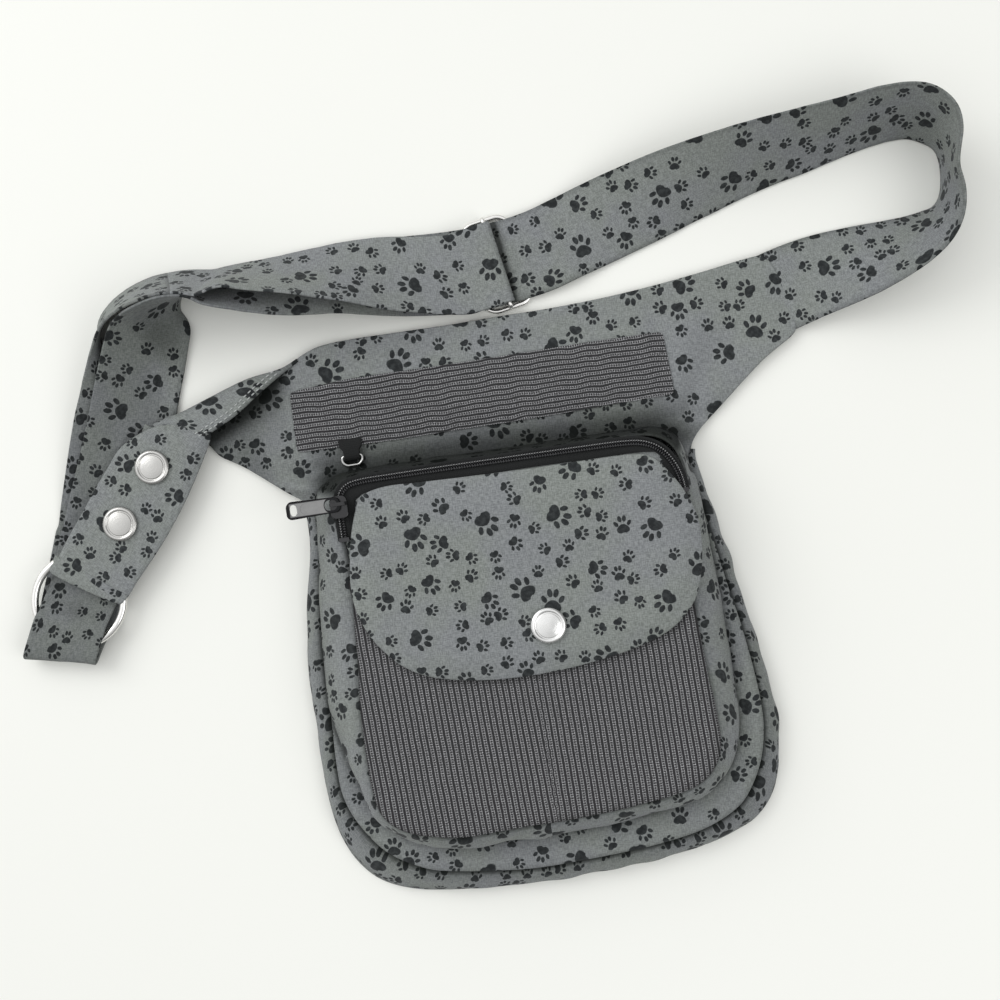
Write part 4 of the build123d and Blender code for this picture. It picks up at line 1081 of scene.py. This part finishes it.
def build_clip_tab():
    """A short webbing loop: down from the band, round the ring's bar and back."""
    n, half = 26, 5.4
    route = [(126.5, 5.9), (123.5, 6.5), (120.5, 6.7), (118.3, 6.75), (116.7, 6.0), (116.5, 5.0),
             (116.8, 4.0), (118.3, 3.9), (121, 4.3), (124, 4.4)]
    line = open_curve(route, 3, n)
    xs = np.linspace(-half, half, 8)
    grid = np.zeros((n, 8, 3))
    squeeze = 0.67 + 0.33 * smoothstep(120.6, 123.6, line[:, 0])
    for j, x in enumerate(xs):
        grid[:, j, 0] = -75.4 + x * squeeze
        grid[:, j, 1:] = line
    tab = slab("clip_webbing", grid, 0.8, lengths(line), np.tile(xs, (n, 1)), TAPE, "pouch",
               slot="black_webbing")
    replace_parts(tab, "clip_tab")


# ======================================================================== straps
def strap(stations, step=2.0, half_stack=0.75):
    """Dense stations, centre line, width direction and running direction of a banked strap.

    Each station is x, y, bank in degrees and the lift of its lower edge.
    """
    dense = spline(stations, per=16)
    dense = resample(dense, int(lengths(dense)[-1] / step))
    # The route was taken as if it lay on the table, so its raised parts are drawn in a little.
    high = STRAP_W / 2 * np.abs(np.sin(np.radians(dense[:, 2]))) + dense[:, 3]
    below = CAMERA_PLACE[:2]
    dense[:, :2] = below + (dense[:, :2] - below) * (1 - high / CAMERA_PLACE[2])[:, None]
    heading = unit(soften(unit(np.gradient(dense[:, :2], axis=0)), 4, closed=False))
    left = np.column_stack([-heading[:, 1], heading[:, 0]])
    bank = np.radians(dense[:, 2])
    z = dense[:, 3] + STRAP_W / 2 * np.abs(np.sin(bank)) + half_stack * np.abs(np.cos(bank))
    centre = np.column_stack([dense[:, :2], z])
    width = np.column_stack([left * np.cos(bank)[:, None], np.sin(bank)])
    run = unit(np.gradient(centre, axis=0))
    width = unit(width - run * (width * run).sum(1, keepdims=True))
    return dense, centre, width, run


LOOP_RUN = [  # from the right wing round the loop to the buckle and on to the O-ring
    (143.5, 167.5, 0, 1.9), (152, 170, -3, 2.0), (168, 174, -12, 0.4), (196, 179, -32, 0.2),
    (217, 184.5, -50, 0.2), (231, 192, -68, 0.2), (238.5, 203, -88, 0.2), (240, 216, -96, 0.2),
    (242, 230, -90, 0.2), (238, 240.5, -76, 0.2), (227, 247.5, -66, 0.2), (208, 247.5, -61, 0.2),
    (182, 243, -56, 0.2), (146, 237, -46, 0.2), (110, 229, -32, 0.2), (76, 219.5, -14, 0.4),
    (46, 210.5, 0, 2.0), (30, 205.7, 0, 2.5), (10, 202.6, 0, 2.35), (-10, 201.5, 0, 2.2),
    (-36, 203.3, 10, 0.8), (-66, 206.5, 26, 0.2), (-98, 207.2, 41, 0.2), (-124, 210.0, 54, 0.2),
    (-143, 212.0, 68, 0.2), (-155, 208.0, 90, 0.2), (-162.5, 201.5, 117, 0.3),
    (-167.3, 193.5, 141, 0.6), (-171.2, 183, 154, 0.8), (-176.6, 168, 160, 0.9),
    (-182.5, 151, 164, 1.0), (-190.5, 130, 170, 1.4), (-199, 110, 176, 1.8), (-205, 95, 179, 1.9),
]


def ring_point(heading, distance):
    return RING[:2] + distance * np.array([math.cos(heading), math.sin(heading)])


def build_belt():
    """The belt, in two layers where it's doubled, cut where the buckle's end part begins."""
    dense, centre, width, run = strap(LOOP_RUN)
    half = np.full(len(centre), STRAP_W / 2)
    normal = unit(np.cross(run, width))
    # The return layer lies on the outside of the doubled stretch and splays from it.
    k0 = int(np.argmin(np.hypot(dense[:, 0] + 26, dense[:, 1] - 202.5)))
    c, w, nn = centre[k0:], width[k0:], normal[k0:]
    s = lengths(c, 3)
    total = s[-1]

    def at(values, passes=0):
        """Values given at distances along the doubled stretch, evened out."""
        x = np.interp(s, [v[0] for v in values], [v[1] for v in values])
        return soften(x[:, None], passes, closed=False)[:, 0]

    splay = np.radians(at([(0, 2), (40, 9), (72, 15), (98, 13), (122, 4), (140, 0), (total, 0)], 6))
    shift = at([(0, 0), (120, 0.5), (150, 5.5), (175, 7), (215, 6), (total, 3)], 6)
    foot = c - w * STRAP_W / 2
    w2 = w * np.cos(splay)[:, None] + nn * np.sin(splay)[:, None]
    c2 = foot + nn * 1.75 + w2 * (STRAP_W / 2 + shift)[:, None]
    heading = unit(np.gradient(c[:, :2], axis=0))
    outward = np.column_stack([heading[:, 1], -heading[:, 0], np.zeros(len(c))])
    # Round the corner the two layers stand as a tent that shares its ridge.
    ridge = c + w * STRAP_W / 2
    lean = np.radians(at([(0, 40), (104, 58), (119, 65), (131, 68), (141, 70), (150, 77), (157, 92),
                          (165, 128), (176, 156), (200, 170), (total, 179)], 5))
    w3 = np.column_stack([-outward[:, :2] * np.cos(lean)[:, None], np.sin(lean)])
    drop = np.maximum(ridge[:, 2] - 0.4, 1.5)
    reach = np.minimum(STRAP_W, drop / np.maximum(np.sin(lean), 0.05))
    over = at([(0, 0), (119, 0.8), (140, 1.5), (152, 4.5), (176, 6), (total, 4)])
    tent = (smoothstep(100, 118, s) * (1 - smoothstep(176, 198, s)))[:, None]
    c3 = ridge + outward * over[:, None] - w3 * (reach / 2)[:, None]
    c2 = c2 * (1 - tent) + c3 * tent
    w2 = unit(w2 * (1 - tent) + w3 * tent)
    spread = STRAP_W / 2 * (1 - tent[:, 0]) + reach / 2 * tent[:, 0]
    flare = at([(0, 0), (104, 0), (122, 1.2), (146, 3.2), (158, 3.0), (172, 0), (total, 0)], 8)

    # The bight round the O-ring: distance past the ring's centre, height and width.
    ahead = np.array([math.cos(BELT_HEADING), math.sin(BELT_HEADING), 0.0])
    out = np.array([ahead[1], -ahead[0], 0.0])
    bight = [(*ring_point(BELT_HEADING, distance), z, wide) for distance, z, wide in (
            (-30, 2.55, 40), (-20, 2.6, 37), (-8, 3.0, 34), (2, 6.0, 33), (9, 10.4, 33),
            (14, 11.3, 34), (20, 11.2, 34.5), (27, 10.9, 34.5), (30.4, 10.1, 34.5),
            (31.4, 8.0, 34.5), (30.4, 5.9, 34.5), (26, 5.0, 34.5), (18, 2.6, 35), (8, 1.1, 37),
            (-8, 0.95, 38), (-20, 0.9, 39), (-30, 0.85, 40))]
    bight = spline(bight, per=10)
    bight = resample(bight, int(lengths(bight, 3)[-1] / 1.6), dims=3)
    bc = bight[:, :3].copy()
    bc[-30:] += out * np.linspace(0, 3, 30)[:, None]
    past_ring = (bc - RING) @ ahead
    bw = unit(out + ahead * (0.22 * smoothstep(6, 22, past_ring))[:, None])

    flares = np.vstack([np.zeros((len(centre) + len(bc), 3)), (outward * flare[:, None])[::-1]])
    centre = np.vstack([centre, bc, c2[::-1]])
    width = np.vstack([width, bw, w2[::-1]])
    half = np.concatenate([half, bight[:, 3] / 2, spread[::-1]])
    blend = soften(np.column_stack([centre, width, half]), 2, closed=False)
    centre, width, half = blend[:, :3], unit(blend[:, 3:6]), blend[:, 6]

    s = lengths(centre, 3)
    run = unit(np.gradient(centre, axis=0))
    normal = unit(np.cross(run, width))
    returning = len(centre) - len(c2)
    cut = int(np.argmin(np.abs(centre[returning:, 0] + 149))) + returning

    columns = np.linspace(-1, 1, 17)
    grid = np.zeros((len(centre), len(columns), 3))
    ramp = np.minimum(1, np.minimum(s, s[-1] - s) / 30)
    for j, q in enumerate(columns):
        ripple = 0.38 * waves(s, q * 16, 71, 48) * ramp + 0.16 * waves(s, q * 20, 72, 15)
        bow = -0.35 * q * q
        grid[:, j] = centre + width * (half * q)[:, None] + normal * (ripple * 0.8 + bow)[:, None]
        grid[:, j] += flares * ((1 - q) / 2) ** 2
    grid[..., 2] = np.maximum(grid[..., 2], 0.75)
    v = np.tile(columns * STRAP_W / 2 + 500, (len(centre), 1))
    along = (centre[:, :2] - BUCKLE) @ np.array([math.cos(BUCKLE_TURN), math.sin(BUCKLE_TURN)])
    first = np.arange(len(centre)) < len(c) + k0
    # Painted shade: darker in the buckle's slot, along both edges, in the corner's hollow, in the
    # tab's shadow where it overhangs the belt at the ring, and on its shaded left leg.
    slot = 0.8 * np.exp(-((along - 3.6) / 2.4) ** 4) * first
    edge = STRAP_W / 2 - np.abs(columns)[None, :] * STRAP_W / 2
    dark = np.maximum(slot[:, None], 0.25 * np.exp(-(edge / 0.8) ** 2))
    x, y = grid[..., 0], grid[..., 1]
    throat = ring_point(BELT_HEADING, 5)
    for field in (0.5 * np.exp(-(np.hypot(x + 160, y - 190) / 13) ** 2) * first[:, None],
                  0.4 * np.exp(-(np.hypot(x - throat[0], y - throat[1]) / 9) ** 2),
                  0.26 * smoothstep(-158, -172, x) * smoothstep(205, 185, y)):
        dark = np.maximum(dark, field)
    main = slab("belt", grid[:cut + 1], 1.35, s[:cut + 1], v[:cut + 1], CLOTH, "pouch",
                crease=dark[:cut + 1])
    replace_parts(main, "belt_strap")
    return grid[cut:], s[cut]


def build_belt_end(start, run_before):
    """The last stretch of the belt up to the sliding buckle, and its sewn eye."""
    ux = np.array([math.cos(BUCKLE_TURN), math.sin(BUCKLE_TURN)])
    uy = np.array([-ux[1], ux[0]])
    columns = start.shape[1]
    mid = (columns - 1) // 2
    end_w = unit(start[-1, -1] - start[-1, 0])
    # Rise over the bar, round it, and back beneath as a short tail.
    eye = [(*(BUCKLE + ux * along), z) for along, z in (
        (-24, 6.8), (-14, 7.9), (-6, 8.6), (0, 8.75), (1.5, 8.3), (2.15, 6.7), (1.4, 5.1),
        (0, 4.72), (-6, 4.62), (-13, 4.7))]
    eye = resample(spline(eye, per=10), 46, dims=3)
    across = -uy if np.dot(end_w[:2], -uy) > 0 else uy
    q = np.linspace(-1, 1, columns)
    extra = np.zeros((len(eye), columns, 3))
    for j in range(columns):
        extra[:, j, :2] = eye[:, :2] + across * (q[j] * STRAP_W / 2)
        extra[:, j, 2] = eye[:, 2] - 0.25 * q[j] ** 2
    whole = np.concatenate([start[:-6], extra], 0)
    a, b = len(start) - 6 - 5, len(start) - 6 + 6
    for _ in range(14):
        whole[a:b] = (whole[a - 1:b - 1] + 2 * whole[a:b] + whole[a + 1:b + 1]) / 4
    length = lengths(whole[:, mid], 3)
    v = np.tile(q * STRAP_W / 2 + 500, (len(whole), 1))
    piece = slab("belt_end", whole, 1.3, run_before + length, v, CLOTH, None)
    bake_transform(piece)
    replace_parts(piece, "belt_end_loop")


# ======================================================================== tab and left wing
TAB_EDGE = [
    (-203, 64.2), (-196.5, 63.6), (-193.2, 66.5), (-188, 72.7), (-174, 88.2), (-160.4, 106.1),
    (-150.6, 122.1), (-142.6, 137.0), (-143.6, 140.6), (-151, 143.6), (-162, 146.6),
    (-171, 146.1), (-181, 142.4), (-188.6, 137.6), (-193.6, 131.4), (-202.9, 119.9),
    (-210.5, 109.4), (-219, 98.6), (-224.8, 90.4), (-229.4, 86.2), (-229, 81.5),
]


def tab_uv(x, y):
    c, s = math.cos(TAB_HEADING), math.sin(TAB_HEADING)
    return np.column_stack([x * c + y * s + 900, -x * s + y * c])


def build_tab():
    c, s = math.cos(TAB_HEADING), math.sin(TAB_HEADING)
    right = np.array([s, -c, 0.0])

    # Lower layer and the bight round the ring: distance from its centre, height and width.
    path = [(*ring_point(TAB_HEADING, distance), z, wide) for distance, z, wide in (
        (92, 5.2, 35), (84, 5.2, 36), (70, 5.1, 37), (45, 5.1, 38), (28, 5.0, 38), (18, 4.8, 36),
        (11, 5.1, 34), (9.0, 6.2, 34), (8.6, 8.0, 35), (9.2, 9.8, 37), (11.5, 10.8, 39),
        (14.5, 11.0, 40))]
    line = spline(path, per=10)
    line = resample(line, int(lengths(line, 3)[-1] / 1.5), dims=3)
    q = np.linspace(-1, 1, 15)
    grid = np.zeros((len(line), 15, 3))
    run = lengths(line, 3)
    for j, x in enumerate(q):
        grid[:, j] = line[:, :3] + right * (line[:, 3] / 2 * x)[:, None]
        grid[:, j, 2] += 0.15 * waves(run, x * 20, 81, 30)
    lower = slab("tab_lower", grid, 1.3, run + 700, np.tile(q * 20, (len(line), 1)), CLOTH, "pouch")
    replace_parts(lower, "tab_strap")

    outline = loop(TAB_EDGE, spacing=1.4, passes=2)
    centre = np.array([ring_point(TAB_HEADING, d) for d in (43.5, 75.5)])

    def height(x, y, d):
        along = (x - RING[0]) * c + (y - RING[1]) * s
        z = 11.55 + 0.16 * waves(x, y, 82, 38) - 0.5 * (1 - smoothstep(0, 2.2, d))
        z = z - 1.1 * (1 - smoothstep(0, 5, d)) * smoothstep(60, 95, along)
        near = np.zeros_like(x)
        for p in centre:
            near = np.maximum(near, np.exp(-((x - p[0]) ** 2 + (y - p[1]) ** 2) / 10.0 ** 2))
        z = z * (1 - near) + 11.6 * near
        return np.minimum(z, 11.62 + 1.2 * (1 - smoothstep(8, 20, along)))

    upper = panel("tab_upper", outline, height, 1.5, CLOTH, None, spacing=2.6,
                  rings=(0.6, 1.4, 2.6), uv=tab_uv)
    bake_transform(upper)
    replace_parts(upper, "tab_end")


def build_wing_fold():
    """The left wing's upper edge, turned over along the strap's half twist."""
    count, rows = 60, 17
    crease = open_curve([(-96, 170.2), (-105.5, 165.6), (-123, 161.6), (-140.7, 155.7),
                         (-155, 150.8), (-163.5, 149.0), (-170, 147)], 4, count)
    free = open_curve(WING_FREE_EDGE, 4, count)
    t = np.linspace(0, 1, count)
    grid = np.zeros((count, rows, 3))
    inward = unit(free - crease)
    radius = 0.6 + 1.9 * smoothstep(0, 0.35, t)
    reach = np.linalg.norm(free - crease, axis=1)
    for j in range(rows):
        if j < 4:
            q = (4 - j) / 4
            flat = crease + inward * (1.2 + 5.0 * q * smoothstep(0, 0.4, t))[:, None]
            z = 2.9
        elif j < 9:
            a = math.radians(-90 + 180 * (j - 4) / 4)
            flat = crease + inward * (1.2 - radius * math.cos(a) * 0.9)[:, None]
            z = 2.9 + radius * (1 + math.sin(a))
        else:
            q = (j - 8) / (rows - 9)
            flat = crease + inward * (1.2 + (reach - 1.2) * q)[:, None]
            z = 2.9 + radius * 2 + (2.6 * q * smoothstep(0.1, 0.45, t)
                                    + 0.6 * np.sin(math.pi * q) * smoothstep(0, 0.4, t))
        grid[:, j, :2] = flat
        grid[:, j, 2] = z
    s = lengths(crease)
    gaps = np.linalg.norm(np.diff(grid, axis=1), axis=2)
    v = np.concatenate([np.zeros((count, 1)), np.cumsum(gaps, 1)], 1)
    edge = v[:, -1:] - v
    # Painted shade along the fold's free edge.
    slab("wing_fold", grid, 1.2, s + 1200, v, CLOTH, "pouch",
         crease=0.35 * np.exp(-(edge / 0.8) ** 2))
    rows = []
    for back in (1.3, 3.4):
        edge = grid[:, -1] + unit(grid[:, -2] - grid[:, -1]) * back
        rows.append(edge[9:54] + np.array([0, 0, 0.74]))
    thread("wing_fold_stitching", rows, THREAD, "pouch", radius=0.36)


# ======================================================================== carried-over metal
def dress_hardware():
    looks = {
        "zip_slider": GUNMETAL, "zip_pull": PULL_METAL, "zip_stops": COIL,
        "flap_snap_cap": CAP_METAL, "tab_snap_caps": TAB_CAP_METAL, "o_ring": NICKEL,
        "triglide_frame": NICKEL, "triglide_bar": NICKEL, "clip_ring": RING_METAL,
        "flap_snap_socket": NICKEL, "pocket_snap_stud": NICKEL, "pocket_snap_post": NICKEL,
        "tab_snap_sockets": NICKEL, "tab_snap_studs": NICKEL, "tab_snap_posts": NICKEL,
    }
    for name, mat in looks.items():
        mesh = NODES[name].data
        if mesh.materials:
            mesh.materials[0] = mat
        else:
            mesh.materials.append(mat)


# ======================================================================== stage
def build_stage():
    scene = bpy.context.scene
    mat, t, shader = material("pale_table", roughness=0.75, specular=0.2)
    place = object_place(t)
    grain = t.noise(place, 3.0, 3.0)
    t.put(shader.inputs["Base Color"],
          t.mix(grain, (0.775, 0.78, 0.735, 1), (0.79, 0.795, 0.755, 1)))
    mesh = bpy.data.meshes.new("table")
    r = 3.0
    mesh.from_pydata([(-r, -r, -0.0002), (r, -r, -0.0002), (r, r, -0.0002), (-r, r, -0.0002)], [],
                     [(0, 1, 2, 3)])
    mesh.materials.append(mat)
    table = bpy.data.objects.new("table", mesh)
    scene.collection.objects.link(table)

    world = bpy.data.worlds.new("soft_white")
    scene.world = world
    world.use_nodes = True
    sky = Tree(world.node_tree)
    direction = sky.node("ShaderNodeTexCoord").outputs["Generated"]
    _, _, up = sky.split(direction)
    window = sky.vector("DOT_PRODUCT", direction, tuple(Vector((-0.62, 0.55, 0.56)).normalized()))
    level = sky.math("ADD", sky.span(up, 0.0, 0.9, 0.14, 0.62),
                     sky.span(window, 0.0, 1.0, 0.0, 0.80))
    background = world.node_tree.nodes["Background"]
    background.inputs[0].default_value = (0.985, 0.99, 1.0, 1)
    sky.put(background.inputs[1], level)

    def area(name, place, target, size, energy, colour=(1, 1, 1)):
        light = bpy.data.lights.new(name, "AREA")
        light.shape = "DISK"
        light.size = size
        light.energy = energy
        light.color = colour
        obj = bpy.data.objects.new(name, light)
        obj.location = place
        obj.rotation_euler = (Vector(target) - Vector(place)).to_track_quat("-Z", "Y").to_euler()
        scene.collection.objects.link(obj)

    area("key", (-0.95, 0.9, 1.0), (0, 0.08, 0), 1.0, 8)
    area("fill", (0.9, -0.5, 1.3), (0, 0.05, 0), 1.2, 7)

    camera = bpy.data.cameras.new("camera")
    camera.sensor_width = 36
    camera.lens = 50.4
    camera.clip_end = 10
    obj = bpy.data.objects.new("camera", camera)
    obj.location = CAMERA_PLACE * MM
    obj.rotation_euler = (0, 0, math.radians(-8.4))
    scene.collection.objects.link(obj)
    scene.camera = obj
    scene.view_settings.view_transform = "Standard"
    scene.view_settings.look = "None"


build_stage()
build_shell()
build_pocket()
build_flap()
build_zip()
build_band()
build_clip_tab()
build_belt_end(*build_belt())
build_tab()
build_wing_fold()
dress_hardware()
